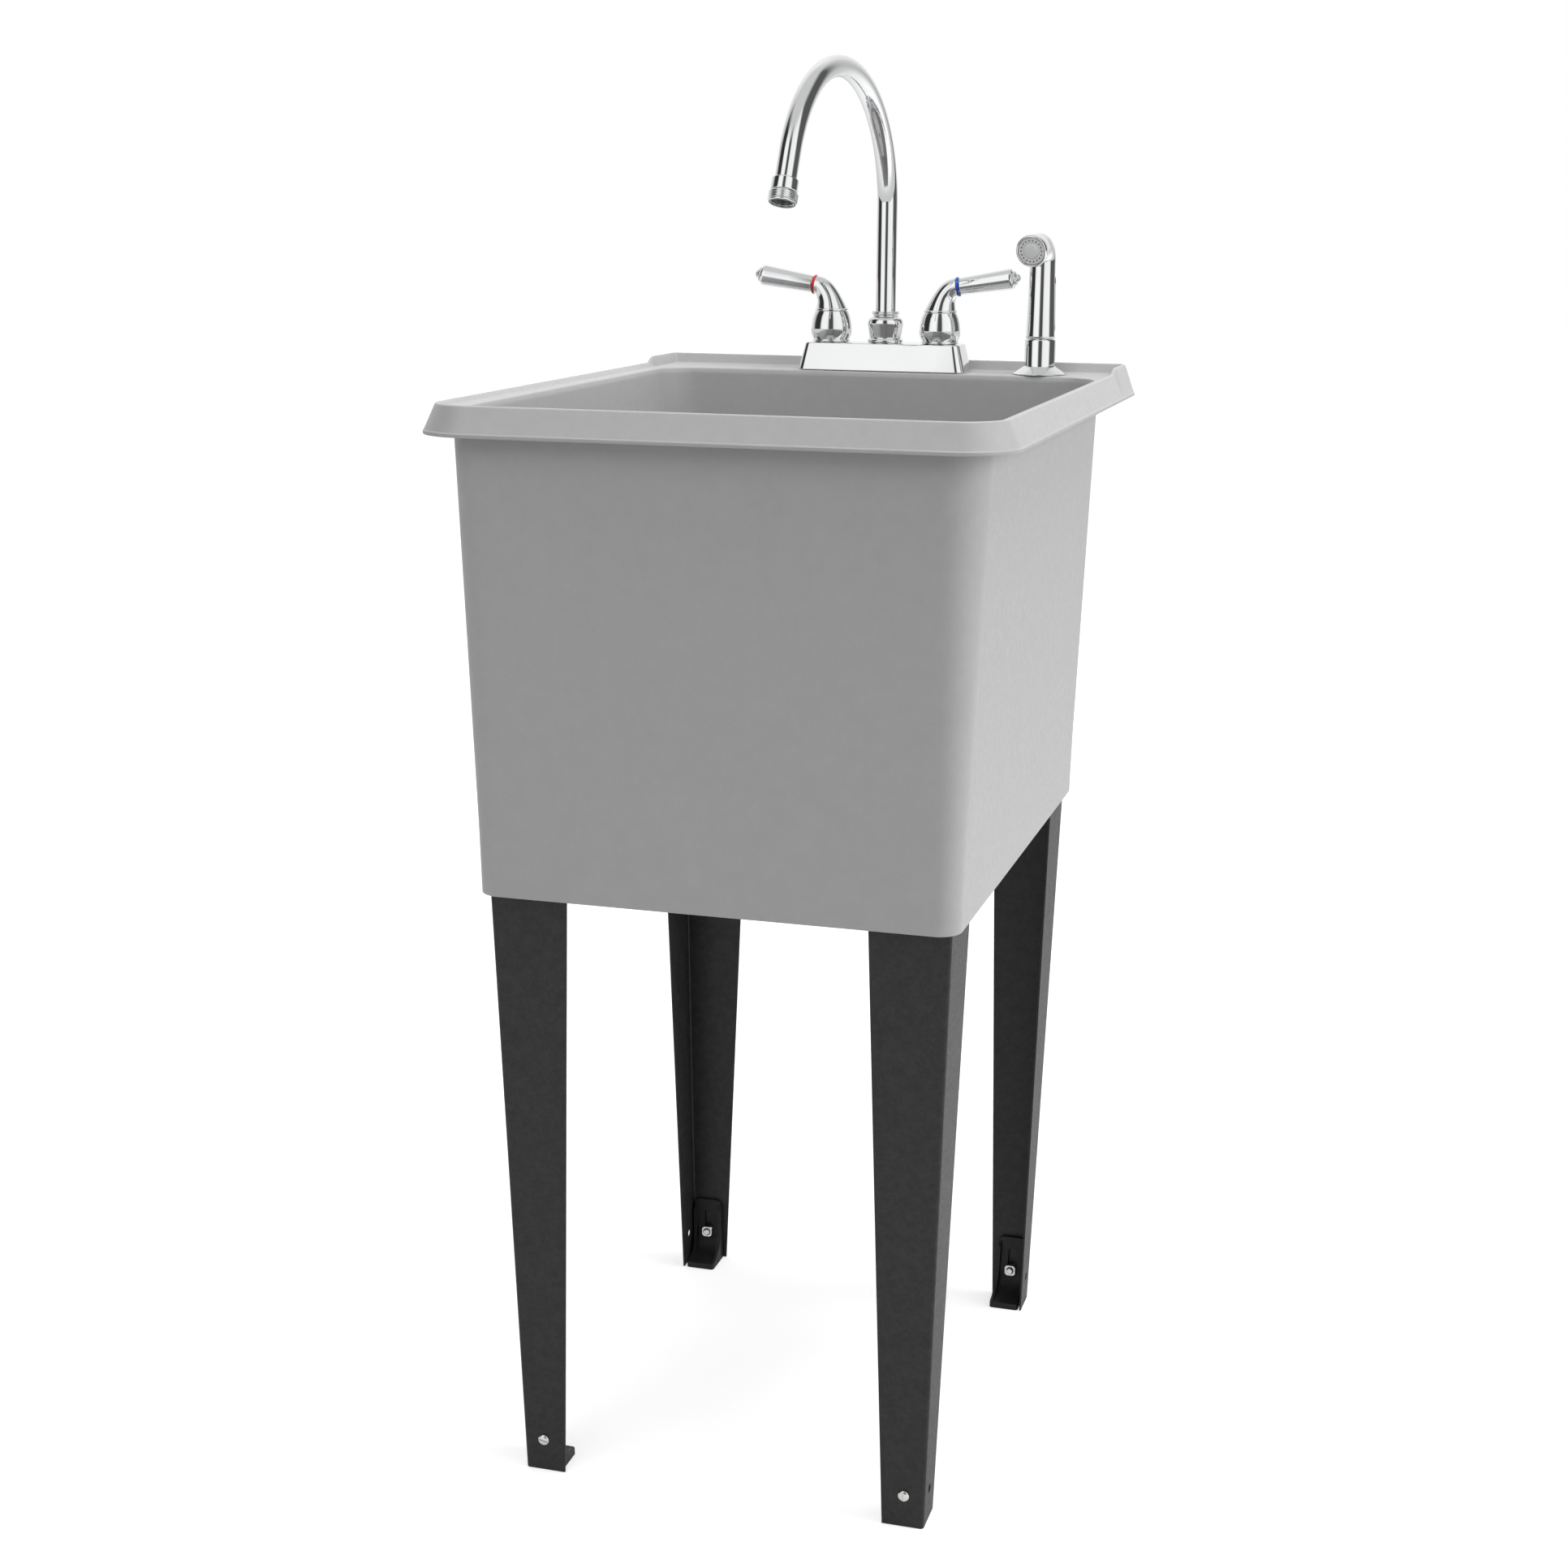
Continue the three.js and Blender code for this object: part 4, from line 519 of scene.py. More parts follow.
def tub_ribs():
    """Crossing ribs and leg pockets under the bowl."""
    low, high = KNEE - 18.0, KNEE + 0.6
    half, apart_x, apart_y = 1.5, 78.0, 105.0
    front, back, side = -263.9, 228.1, 189.4  # the inner faces of the walls
    solids = []
    for sign in (-1, 1):
        x, y = sign * apart_x, DRAIN_Y + sign * apart_y
        solids.append(block_mesh((x - half, x + half), (front, back), (low, high)))
        solids.append(block_mesh((-side, side), (y - half, y + half), (low, high)))
    foot = LEG_TOP - 34.0
    inside, arm, thick = 2.7, 50, 3
    lean_x, lean_y = 0.0302, 0.031  # of the legs, outwards
    x = LEG_X + lean_x * foot - inside
    for sx in (-1, 1):
        for sy, toe in LEG_Y.items():
            y = toe + lean_y * foot - inside
            plan = [(x, y), (x - arm, y), (x - arm, y - thick)]
            plan += [(x - thick, y - thick), (x - thick, y - arm), (x, y - arm)]
            verts = [(sx * a, sy * b, z) for z in (foot, high) for a, b in plan]
            solids.append((verts, [*ring_faces(6, 2), tuple(range(6)), tuple(range(6, 12))]))
    return joined(solids)


loft("tub_moulding", tub_rings(), "stand", "tub", loop=True, replaces="tub", sharp=60)
bevelled(piece("tub_underside_ribs", *tub_ribs(), "stand", "tub"), 0.5)

# ---------------------------------------------------------------- legs, feet and fasteners
# Built for the front right corner, with the outer corner of the leg on the origin, one flange towards -X and
# the other towards +Y. The other corners mirror it.

LEAN_X, LEAN_Y = 15.07 / 499, 15.47 / 499
LEAN = Matrix(((1, 0, LEAN_X, 0), (0, 1, -LEAN_Y, 0), (0, 0, 1, 0), (0, 0, 0, 1)))
SHEET, LEG_LOW, LEG_WIDTH, LEG_FLARE = 1.5, 0.4, 34.0, 33.0
BOLT_X, BOLT_Z = 17.0, 28.0
FOOT_BACK, FOOT_PLATE, FOOT_WIDTH, FOOT_TOP, FOOT_REACH = SHEET + 0.3, 3.0, 27.4, 60.0, 32.0


class Skin:
    """Points and faces collected for one mesh."""

    def __init__(self):
        self.verts = []
        self.faces = []

    def add(self, points):
        first = len(self.verts)
        self.verts += [tuple(p) for p in points]
        return list(range(first, len(self.verts)))

    def strip(self, a, b, closed=False):
        count = len(a)
        for i in range(count if closed else count - 1):
            k = (i + 1) % count
            self.faces.append((a[i], a[k], b[k], b[i]))

    def hole(self, corners, ring):
        """The four faces between a square and a round hole in it, whose ring starts at the first corner."""
        quarter = len(ring) // 4
        for side in range(4):
            arc_part = [ring[(side * quarter + i) % len(ring)] for i in range(quarter + 1)]
            self.faces.append((corners[side], corners[(side + 1) % 4], *reversed(arc_part)))


def leg_mesh():
    """Angle sheet that tapers downwards, with a bolt hole in each flange."""
    skin = Skin()
    bend, hole, around = 3.0, 3.5, 12.0  # radii of the corner and the holes, half the square round a hole
    heights = [LEG_LOW, BOLT_Z - around, BOLT_Z + around, 120, 230, 340, 450, LEG_TOP]
    sides = []
    for offset in (0.0, SHEET):
        rows = []
        for z in heights:
            width = LEG_WIDTH + LEG_FLARE * z / LEG_TOP
            row = [(-width, offset), (-BOLT_X - around, offset), (-BOLT_X + around, offset)]
            row += arc(-bend, bend, bend - offset, -90, 0, 8)
            row += [(-offset, BOLT_X - around), (-offset, BOLT_X + around), (-offset, width)]
            rows.append(skin.add([(x, y, z) for x, y in row]))
        holes = (1, len(rows[0]) - 3)
        for j in range(len(rows) - 1):
            for i in range(len(rows[0]) - 1):
                if j == 1 and i in holes:
                    continue
                skin.faces.append((rows[j][i], rows[j][i + 1], rows[j + 1][i + 1], rows[j + 1][i]))
        rings = []
        for flange, i in enumerate(holes):
            ring = []
            for across, up in arc(0, BOLT_Z, hole, -135, 225, 32)[:-1]:
                ring.append((across - BOLT_X, offset, up) if flange == 0 else (-offset, across + BOLT_X, up))
            ring = skin.add(ring)
            skin.hole([rows[1][i], rows[1][i + 1], rows[2][i + 1], rows[2][i]], ring)
            rings.append(ring)
        sides.append((rows, rings))
    (outer, outer_rings), (inner, inner_rings) = sides
    skin.strip(outer[0], inner[0])
    skin.strip(outer[-1], inner[-1])
    for end in (0, -1):
        skin.strip([row[end] for row in outer], [row[end] for row in inner])
    for a, b in zip(outer_rings, inner_rings):
        skin.strip(a, b, closed=True)
    return skin.verts, skin.faces


def corner_fall(radius, distance):
    """How far a rounded corner has fallen back at a distance from its side."""
    return radius - math.sqrt(radius**2 - (radius - distance) ** 2) if distance < radius else 0


def foot_section(d, rib):
    """Side view of the foot at a distance from its side edge: back face, top, front face down to the toe."""
    back, front, base = FOOT_BACK, FOOT_BACK + FOOT_PLATE, 5.5
    top = FOOT_TOP - corner_fall(6, d)
    toe = back + (FOOT_REACH - corner_fall(3, d))
    low, high = BOLT_Z - 6.0, BOLT_Z + 24.0  # the part of the plate that the slot is set in
    points = [(back, 0), (back, low), (back, high), (back, top), (front, top), (front, min(top - 0.8, 55.0))]
    if rib:
        edge = front + 3.6
        start, control, end = (edge, 30.0), (edge + 2.2, 7.5), (toe, base)
        points += [(edge, min(high, 51.0)), (edge, 40.0)]
    else:
        start, control, end = (front, low), (front + 0.5, 6.0), (toe, base)
        points += [(front, high), (front, (low + high) / 2)]
    for k in range(9):
        t = k / 8
        points.append(
            tuple(a * (1 - t) ** 2 + 2 * b * t * (1 - t) + c * t * t for a, b, c in zip(start, control, end))
        )
    return points + [(toe, 0)]


def foot_mesh():
    """A slotted back plate between two raised edges that sweep out over the base plate."""
    skin = Skin()
    cell, slot_half, slot_rise = 5.6, 3.3, 18
    middle = FOOT_WIDTH / 2
    near = [(d, True) for d in (0, 0.5, 1.2, 2.4, 3.0)] + [(d, False) for d in (3.6, 4.6, 6)]
    stations = [(d, d, rib) for d, rib in near]
    stations += [(middle + side * cell, middle - cell, False) for side in (-1, 1)]
    stations += [(FOOT_WIDTH - d, d, rib) for d, rib in reversed(near)]
    left = -BOLT_X - middle
    rows = []
    for across, d, rib in stations:
        rows.append(skin.add([(left + across, y, z) for y, z in foot_section(d, rib)]))
    slotted = len(near)
    count = len(rows[0])
    for j in range(len(rows) - 1):
        for i in range(count):
            if j == slotted and i in (1, 6, 7):  # the spans of the section that the slot goes through
                continue
            k = (i + 1) % count
            skin.faces.append((rows[j][i], rows[j][k], rows[j + 1][k], rows[j + 1][i]))
    skin.faces.append(tuple(rows[0]))
    skin.faces.append(tuple(reversed(rows[-1])))
    slot = arc(-BOLT_X, BOLT_Z, slot_half, -135, 0, 6)
    slot += arc(-BOLT_X, BOLT_Z + slot_rise, slot_half, 0, 180, 12)
    slot += arc(-BOLT_X, BOLT_Z, slot_half, 180, 225, 3)[:-1]
    rings = []
    for y, low, high in ((FOOT_BACK, 1, 2), (FOOT_BACK + FOOT_PLATE, 8, 6)):
        ring = skin.add([(x, y, z) for x, z in slot])
        rings.append(ring)
        a, b = rows[slotted], rows[slotted + 1]
        corners = [a[low], b[low], b[high], a[high]]
        cuts = [0, 4, 14, 20, len(ring)]  # the points of the ring that are joined to the corners
        for side in range(4):
            part = [ring[i % len(ring)] for i in range(cuts[side], cuts[side + 1] + 1)]
            edge = [corners[side], corners[(side + 1) % 4]]
            if y > FOOT_BACK and side == 1:
                edge.insert(1, b[7])
            if y > FOOT_BACK and side == 3:
                edge.insert(1, a[7])
            skin.faces.append((*edge, *reversed(part)))
    skin.strip(rings[0], rings[1], closed=True)
    return skin.verts, skin.faces


def bolt_mesh():
    """A domed head with a slot across it, and the shank with a chamfered end."""
    skin = Skin()
    radius, edge, rise, slot, slot_floor = 4.7, 0.7, 2.4, 0.62, 1.1
    columns = []
    xs = [(-radius * math.cos(math.radians(a)), None) for a in (0, 12, 26, 42, 58, 70)] + [(-slot, None)]
    xs += [(-slot, slot_floor)]
    for x, floor in xs + [(-x, floor) for x, floor in reversed(xs)]:
        chord = math.sqrt(max(radius**2 - x**2, 1e-6))
        row = []
        for i in range(17):
            y = -chord * math.cos(math.pi * i / 16)
            height = edge + (rise - edge) * max(0.0, 1 - (x * x + y * y) / radius**2) ** 0.6
            row.append((x, y, height if floor is None else min(floor, height)))
        columns.append(skin.add(row))
    for a, b in zip(columns, columns[1:]):
        skin.strip(a, b)
    border = [c[0] for c in columns] + [c[-1] for c in reversed(columns)]
    base = skin.add([(skin.verts[i][0], skin.verts[i][1], 0.0) for i in border])
    skin.strip(border, base, closed=True)
    skin.faces.append(tuple(base))
    shank = [(0, -12.9), (2.5, -12.9), (3.0, -12.3), (3.0, -0.05), (0, -0.05)]
    return joined([(skin.verts, skin.faces), lathe_mesh(shank, 32, False)])


def nut_mesh(sides=64):
    """A square nut, its corners cut back by a cone on the face that shows."""
    half, thick, bore = 5.0, 5.0, 3.3
    back, edge, face = [], [], []
    for i in range(sides):
        a = 2 * math.pi * i / sides
        x, y = math.cos(a), math.sin(a)
        reach = min(half / max(abs(x), abs(y)), half * 1.3)
        back.append((reach * x, reach * y, thick))
        edge.append((reach * x, reach * y, 0.2 + max(0.0, reach - half * 1.08) * 0.7))
        reach = min(reach * 0.97, half * 1.12)
        face.append((reach * x, reach * y, 0.0))
    hole, _ = lathe_mesh([(bore + 0.5, 0), (bore, 0.5), (bore, thick)], sides, False)
    return back + edge + face + hole, ring_faces(sides, 6, loop=True)


def corner_stand(name, sign_x, sign_y):
    """One leg with its foot, bolt and nut."""
    stand = shift(sign_x * LEG_X, sign_y * LEG_Y[sign_y], 0) @ Matrix.Diagonal((sign_x, -sign_y, 1, 1))
    leaning = stand @ LEAN
    leg = piece(f"angle_leg_{name}", *leg_mesh(), "stand", "legs", f"leg_{name}", leaning)
    bevelled(leg, 0.25)
    body = f"levelling_foot_{name}"
    foot = piece(f"foot_moulding_{name}", *foot_mesh(), body, "feet", f"foot_{name}", leaning, sharp=35)
    bevelled(foot, 0.4, limit=50)
    hole = stand @ shift(LEAN_X * BOLT_Z - BOLT_X, -LEAN_Y * BOLT_Z, BOLT_Z)
    hole = hole @ turn(90 + math.degrees(math.atan(LEAN_Y)), "X")
    bolt = hole @ shift(0, 0, 0.3) @ turn(6 if sign_x > 0 else 104, "Z")
    piece(f"slotted_bolt_{name}", *bolt_mesh(), "stand", "fasteners", f"foot_bolt_{name}", bolt, sharp=32)
    nut = hole @ shift(0, 0, -10.1)
    piece(f"square_nut_{name}", *nut_mesh(), "stand", "fasteners", f"foot_nut_{name}", nut, sharp=32)


for end, sign_y in (("front", -1), ("back", 1)):
    for side, sign_x in (("left", -1), ("right", 1)):
        corner_stand(f"{end}_{side}", sign_x, sign_y)

# ---------------------------------------------------------------- tap

TAP = shift(0, TAP_Y, DECK)


def cover_rings():
    """The sloped base cover, with rounded corners and edges, hollow underneath."""
    top, sheet = 25.0, 2.2
    plans = [
        ((150.6, 38.6, 5.8, 0.3), 0.3),
        ((155.0, 43.0, 8.0, 0.3), 0.8),
        ((154.6, 42.7, 7.9, 1.8), 0.6),
        ((143.6, 35.6, 6.4, top - 0.6), 1.3),
        ((140.6, 32.6, 5.2, top), 1.3),
        ((40, 8, 1.5, top), 0.0),
    ]
    inside = [rounded_rectangle(40, 8, 1.5, top - sheet), rounded_rectangle(138.6, 30.6, 3.8, top - sheet)]
    return inside + soften([(rounded_rectangle(*plan), radius) for plan, radius in plans])


loft("tap_base", cover_rings(), "stand", "chrome", replaces="tap_base_cover", place=TAP, sharp=45)

HUB_SEAM, HUB_RISE, HUB_REACH, LEVER_TILT = 53.3, 22.5, 15.0, 81


def bonnet_profile():
    """A bell-shaped shell with a flat foot and a hollow for the valve."""
    base, height = 25.3, 28.0
    outside = [
        (17.0, base, 0.6),
        (17.3, base + 1.3, 0.6),
        (16.2, base + 2.0, 0.5),
        (17.2, base + height * 0.14, 2.0),
        (18.2, base + height * 0.25, 3.0),
        (18.65, base + height * 0.42, 4.0),
        (18.0, base + height * 0.64, 4.0),
        (16.6, base + height * 0.84, 3.0),
        (15.0, 52.5, 0.4),
        (14.6, 53.0, 0.2),
    ]
    inside = [(12.6, 53.0, 0.2), (15.6, 39.3, 2.0), (14.4, base, 0.2)]
    return outside + inside


def hub_rings():
    """The hub rises from the seam of the bonnet and bends into the lever."""
    seam, rise, reach = HUB_SEAM, HUB_RISE, HUB_REACH
    foot, neck = 14.6, 8.1
    lip_part = [
        (0, seam, 0, foot + 0.2),
        (0, seam + 0.25, 0, foot + 0.5),
        (0, seam + 1.1, 0, foot + 0.5),
        (0, seam + 1.45, 0, foot + 0.1),
        (0, seam + 1.6, 0, foot - 0.5),
    ]
    bend = [
        (0, seam + 1.7, 0, foot - 0.55),
        (reach * 0.07, seam + rise * 0.24, 5, foot * 0.87),
        (reach * 0.18, seam + rise * 0.46, 14, foot * 0.75),
        (reach * 0.33, seam + rise * 0.67, 27, foot * 0.66),
        (reach * 0.53, seam + rise * 0.84, 46, foot * 0.61),
        (reach * 0.76, seam + rise * 0.95, 68, neck + 0.3),
        (reach, seam + rise, LEVER_TILT, neck),
    ]
    return circle_rings(lip_part + smooth_stations(bend))


LEVER_PROFILE = [
    (0, 2.6),
    (6.9, 2.6, 0.3),
    (7.6, 3.4, 0.6),
    (8.3, 25.0, 10),
    (9.2, 47.6, 2.0),
    (9.3, 49.6, 1.2),
    (8.7, 51.4, 0.6),
    (7.1, 52.2, 0.5),
    (6.3, 52.6, 0.3),
    (6.7, 53.4, 0.5),
    (6.2, 54.6, 0.5),
    (4.3, 55.2, 0.4),
    (3.4, 55.6, 0.3),
    (3.7, 56.5, 0.4),
    (2.9, 57.5, 0.5),
    (1.4, 58.3, 0.4),
    (0, 58.6),
]
INDEX_PROFILE = [(6.8, 0.3, 0.2), (8.4, 0.3, 0.4), (8.8, 1.3, 0.6), (8.4, 2.3, 0.4), (6.8, 2.3, 0.2)]


def handle(side, x, angle):
    """A bonnet on the base, and the hub, index ring and lever that turn on it."""
    place = TAP @ shift(x, 0, 0) @ turn(angle, "Z")
    arm = place @ shift(HUB_REACH, 0, HUB_SEAM + HUB_RISE) @ turn(LEVER_TILT, "Y")
    body = f"{side}_handle"
    lathe(f"{side}_bonnet_shell", bonnet_profile(), "stand", "chrome", replaces=f"{side}_bonnet", place=place)
    loft(f"{side}_hub", hub_rings(), body, "chrome", replaces=f"{side}_handle_hub", place=place)
    lathe(f"{side}_band", INDEX_PROFILE, body, f"{side}_index", replaces=f"{side}_index_ring", place=arm)
    lathe(f"{side}_grip", LEVER_PROFILE, body, "chrome", replaces=f"{side}_lever", place=arm)


handle("hot", -HANDLE_X, 180)
handle("cold", HANDLE_X, 0)

COLLAR_PROFILE = [
    (16.0, 25.3, 0.4),
    (16.2, 27.4, 0.8),
    (15.0, 28.6, 0.5),
    (14.2, 29.6, 0.8),
    (14.4, 31.5, 2.0),
    (15.5, 38.5, 3.0),
    (16.2, 43.0, 2.0),
    (15.4, 46.2, 1.5),
    (12.4, 48.2, 1.0),
    (11.2, 49.0, 0.5),
    (11.3, 50.2, 0.4),
    (12.7, 50.9, 0.5),
    (12.7, 51.7, 0.4),
    (11.5, 52.1, 0.2),
    (12.3, 52.5, 0.3),
    (12.3, 53.1, 0.3),
    (9.5, 53.3, 0.2),
    (9.5, 29.3, 0.2),
    (11.5, 29.3, 0.2),
    (11.5, 25.3, 0.2),
]
lathe("spout_collar_nut", COLLAR_PROFILE, "stand", "chrome", replaces="spout_collar", place=TAP)

SPOUT = TAP @ turn(-97.2, "Z")
ARCH_RADIUS, ARCH_START, SWEEP = 115.0, 146.5, 159.0


def spout_path():
    """Stations of the tube: up from the socket, round the arch and a short straight end."""
    stations = [(0, z, 0) for z in (14.3, 40, 80, 120)]
    for i in range(61):
        a = math.radians(SWEEP * i / 60)
        x = ARCH_RADIUS * (1 - math.cos(a))
        stations.append((x, ARCH_START + ARCH_RADIUS * math.sin(a), SWEEP * i / 60))
    a = math.radians(SWEEP)
    x, z, _ = stations[-1]
    for more in (11.0, 22.0, 27.0):  # the outlet starts at the second of these
        stations.append((x + more * math.sin(a), z + more * math.cos(a), SWEEP))
    return stations


path = spout_path()
skin = circle_rings([(x, z, t, 9.2) for x, z, t in path])
bore = circle_rings([(x, z, t, 7.4) for x, z, t in reversed(path)])
loft("spout_pipe", skin + bore, "spout", "chrome", loop=True, replaces="spout_tube", place=SPOUT, sharp=50)

tip_x, tip_z, _ = path[-2]
OUTLET = SPOUT @ shift(tip_x, 0, tip_z) @ turn(SWEEP, "Y")
outlet_profile = [
    (9.5, 0, 0.2),
    (10.9, 0, 0.4),
    (11.2, 0.9, 0.4),
    (11.2, 9.8, 0.4),
    (10.9, 10.5, 0.3),
    (7.4, 10.5, 0.2),
    (7.4, 5.3, 0.2),
    (9.5, 5.3, 0.2),
]
lathe("outlet_sleeve", outlet_profile, "spout", "chrome", replaces="spout_outlet_collar", place=OUTLET)


def aerator_profile():
    """The housing's outside is threaded: one rounded ridge for each turn."""
    start, length, ridges = 10.8, 9.5, 5
    profile = [(9.0, start, 0.1), (10.9, start, 0.2), (11.1, start + 0.8, 0.2)]
    pitch = (length - 2.4) / ridges
    for i in range(ridges):
        z = start + 1.0 + i * pitch
        profile += [(11.4, z, 0.15), (12.3, z + pitch * 0.32, 0.25), (12.3, z + pitch * 0.55, 0.25)]
        profile += [(11.4, z + pitch * 0.88, 0.15)]
    end = start + length
    profile += [(11.6, end - 0.9, 0.3), (11.1, end, 0.3), (9.6, end, 0.2)]
    return profile + [(9.6, end - 1.5, 0.2), (9.0, end - 1.5, 0.1)]


lathe("aerator_thread", aerator_profile(), "spout", "chrome", replaces="aerator_housing", place=OUTLET)
screen = [(0, 16.5), (8.7, 16.5, 0.2), (8.7, 18.1, 0.3), (4.0, 18.5, 2.0), (0, 18.6)]
lathe("aerator_mesh_disc", screen, "spout", "screen", replaces="aerator_screen", place=OUTLET)

# ---------------------------------------------------------------- side sprayer

HOLDER = shift(143, TAP_Y, DECK)
holder_profile = [
    (8.3, -24, 0.3),
    (12.4, -24, 0.5),
    (12.4, 0.3, 0.1),
    (23.9, 0.3, 0.3),
    (24.2, 0.9, 0.4),
    (23.2, 1.6, 0.5),
    (19.0, 4.2, 4.0),
    (14.9, 6.6, 1.0),
    (13.9, 7.6, 0.5),
    (13.9, 30.2, 0.4),
    (13.3, 31.3, 0.4),
    (12.4, 31.5, 0.3),
    (8.3, 31.5, 0.3),
]
lathe("sprayer_holder", holder_profile, "stand", "chrome", replaces="spray_holder", place=HOLDER)

GUN = HOLDER @ turn(-7.5, "Z")
NECK_TOP, NECK_RADIUS, NECK_SWEEP, NECK = 100.0, 12.5, 104.0, 11.6
RECESS_LOW, RECESS_HIGH, RECESS_RADIUS, RECESS_HALF = 34.0, 88.6, 8.9, 87.0  # where the trigger lies
HAIR = 0.01


def gun_sections():
    """Stations (x, z, tilt, radius) of the sprayer's body, with the head towards +X."""
    stations = [
        (0, 31.8, 0, 12.4),
        (0, 32.1, 0, 12.8),
        (0, 32.8, 0, 13.0),
        (0, RECESS_LOW - HAIR, 0, 13.0),
        (0, RECESS_LOW, 0, 13.0),
        (0, 37.0, 0, 12.95),
        (0, 50.0, 0, 12.55),
        (0, 66.0, 0, 12.15),
        (0, 80.0, 0, 11.85),
        (0, RECESS_HIGH, 0, 11.7),
        (0, RECESS_HIGH + HAIR, 0, 11.7),
        (0, 95.0, 0, NECK),
    ]
    for i in range(19):
        tilt = NECK_SWEEP * i / 18
        a = math.radians(tilt)
        stations.append((NECK_RADIUS * (1 - math.cos(a)), NECK_TOP + NECK_RADIUS * math.sin(a), tilt, NECK))
    a = math.radians(NECK_SWEEP)
    x, z, _, _ = stations[-1]
    for share, radius in ((0.2, 11.8), (0.45, 12.6), (0.7, 13.3), (0.9, 13.65), (1.0, 13.7)):
        run = 15.0 * share
        stations.append((x + run * math.sin(a), z + run * math.cos(a) + share, NECK_SWEEP, radius))
    return stations


def gun_rings(sides=64):
    """Circles, cut back to a smaller radius round the back, which is -X here, where the trigger lies."""
    half = RECESS_HALF
    back = [math.radians(-half + 2 * half * i / (sides - 1)) for i in range(sides)]
    front = [math.radians(half + (360 - 2 * half) * i / (sides - 1)) for i in range(sides)]
    rings = []
    for x, z, tilt, radius in gun_sections():
        inner = RECESS_RADIUS if tilt == 0 and RECESS_LOW <= z <= RECESS_HIGH else radius
        points = [(inner, math.pi - t) for t in back] + [(radius, math.pi - t) for t in front]
        rings.append(tilted_ring(x, z, tilt, points))
    return rings


forward = GUN @ turn(-90, "Z")  # the head towards -Y
loft("sprayer_body", gun_rings(), "sprayer", "chrome_plastic", replaces="spray_body", place=forward, sharp=50)
stem_profile = [(0, -30.2), (8.0, -30.2, 0.4), (8.0, 33.0, 0.3), (0, 33.0)]
lathe("sprayer_stem", stem_profile, "sprayer", "chrome_plastic", place=GUN)

head_x, head_z, _, _ = gun_sections()[-1]
HEAD = GUN @ shift(0, -head_x, head_z) @ turn(NECK_SWEEP, "X")
ring_profile = [
    (12.3, 0.3, 0.1),
    (13.9, 0.3, 0.4),
    (14.35, 1.6, 0.8),
    (14.3, 3.2, 0.8),
    (13.6, 4.5, 0.6),
    (12.9, 4.8, 0.4),
    (12.3, 4.2, 0.2),
]
lathe("sprayer_head_rim", ring_profile, "sprayer", "chrome_plastic", replaces="spray_head_ring", place=HEAD)
face_profile = [
    (0, 0.3),
    (12.0, 0.3, 0.2),
    (12.0, 3.5, 0.3),
    (7.2, 3.5, 0.3),
    (6.9, 3.1, 0.2),
    (6.7, 3.3, 0.2),
    (6.3, 4.3, 0.5),
    (0, 4.6),
]
lathe("sprayer_face_plate", face_profile, "sprayer", "spray_face", replaces="spray_face", place=HEAD)
# The jet holes are not cut. Near-black discs set in the face are painted shade in their place.
jet, jet_faces = lathe_mesh([(0, 3.4), (0.62, 3.4), (0.62, 3.56), (0.4, 3.6), (0, 3.6)], 16, False)
JETS, JET_RING = 18, 9.4
jets = []
for i in range(JETS):
    a = 2 * math.pi * i / JETS
    jets.append(([(x + JET_RING * math.cos(a), y + JET_RING * math.sin(a), z) for x, y, z in jet], jet_faces))
piece("sprayer_jet_shade_discs", *joined(jets), "sprayer", "spray_face", place=HEAD, material=JET_HOLE_SHADE)


def trigger_rings():
    """A curved blade over the back of the sprayer, thicker in the middle and rounded at its ends."""
    rings = []
    steps = 24
    for i in range(steps + 1):
        t = i / steps
        z = 36.0 + 52.0 * t
        ends = math.sqrt(max(0.0, 1 - (2 * t - 1) ** 10))
        half = math.radians(70 * (0.72 + 0.28 * ends))
        outer = 12.0 - 0.4 * (1 - ends)
        inner = outer - (0.5 + 1.3 * ends)
        swell = 0.9 * math.sin(math.pi * min(1.0, (1 - t) * 1.1)) ** 2
        angles = [math.pi / 2 - half + 2 * half * k / steps for k in range(steps + 1)]
        spots = [(outer + swell * math.cos((a - math.pi / 2) / half * math.pi / 2), a) for a in angles]
        spots += [(inner, a) for a in reversed(angles)]
        rings.append([(r * math.cos(a), r * math.sin(a), z) for r, a in spots])
    return rings


PIN = (0, 6.5, 91.0)
TRIGGER = GUN @ shift(*PIN) @ turn(3.5, "X") @ shift(-PIN[0], -PIN[1], -PIN[2])
loft(
    "sprayer_trigger_blade", trigger_rings(), "trigger", "chrome_plastic",
    replaces="spray_trigger", place=TRIGGER, sharp=45,
)
lug = block_mesh((-4.5, 4.5), (3.5, 11.3), (85, 94))
bevelled(piece("sprayer_trigger_lug", *lug, "trigger", "chrome_plastic", place=GUN), 0.8)

# ---------------------------------------------------------------- drain

DRAIN = shift(0, DRAIN_Y, DRAIN_SEAT)
drain_profile = [
    (19, -36, 0.3),
    (23.7, -36, 0.5),
    (23.7, 0.3, 0.2),
    (33.0, 0.3, 0.2),
    (33.0, 1.5, 0.4),
    (31.0, 2.3, 0.8),
    (27.0, 2.4, 1.5),
    (21.5, 2.2, 1.5),
    (19.3, -0.5, 1.5),
    (19, -3, 0.5),
]
lathe("drain_shell", drain_profile, "stand", "drain_steel", replaces="drain_body", place=DRAIN)
bar, bar_faces = block_mesh((-20, 20), (-1.2, 1.2), (-16, -12))
bars = [([tuple(turn(angle, "Z") @ Vector(p)) for p in bar], bar_faces) for angle in (0, 60, 120)]
bevelled(piece("drain_bars", *joined(bars), "stand", "drain_steel", place=DRAIN), 0.4)
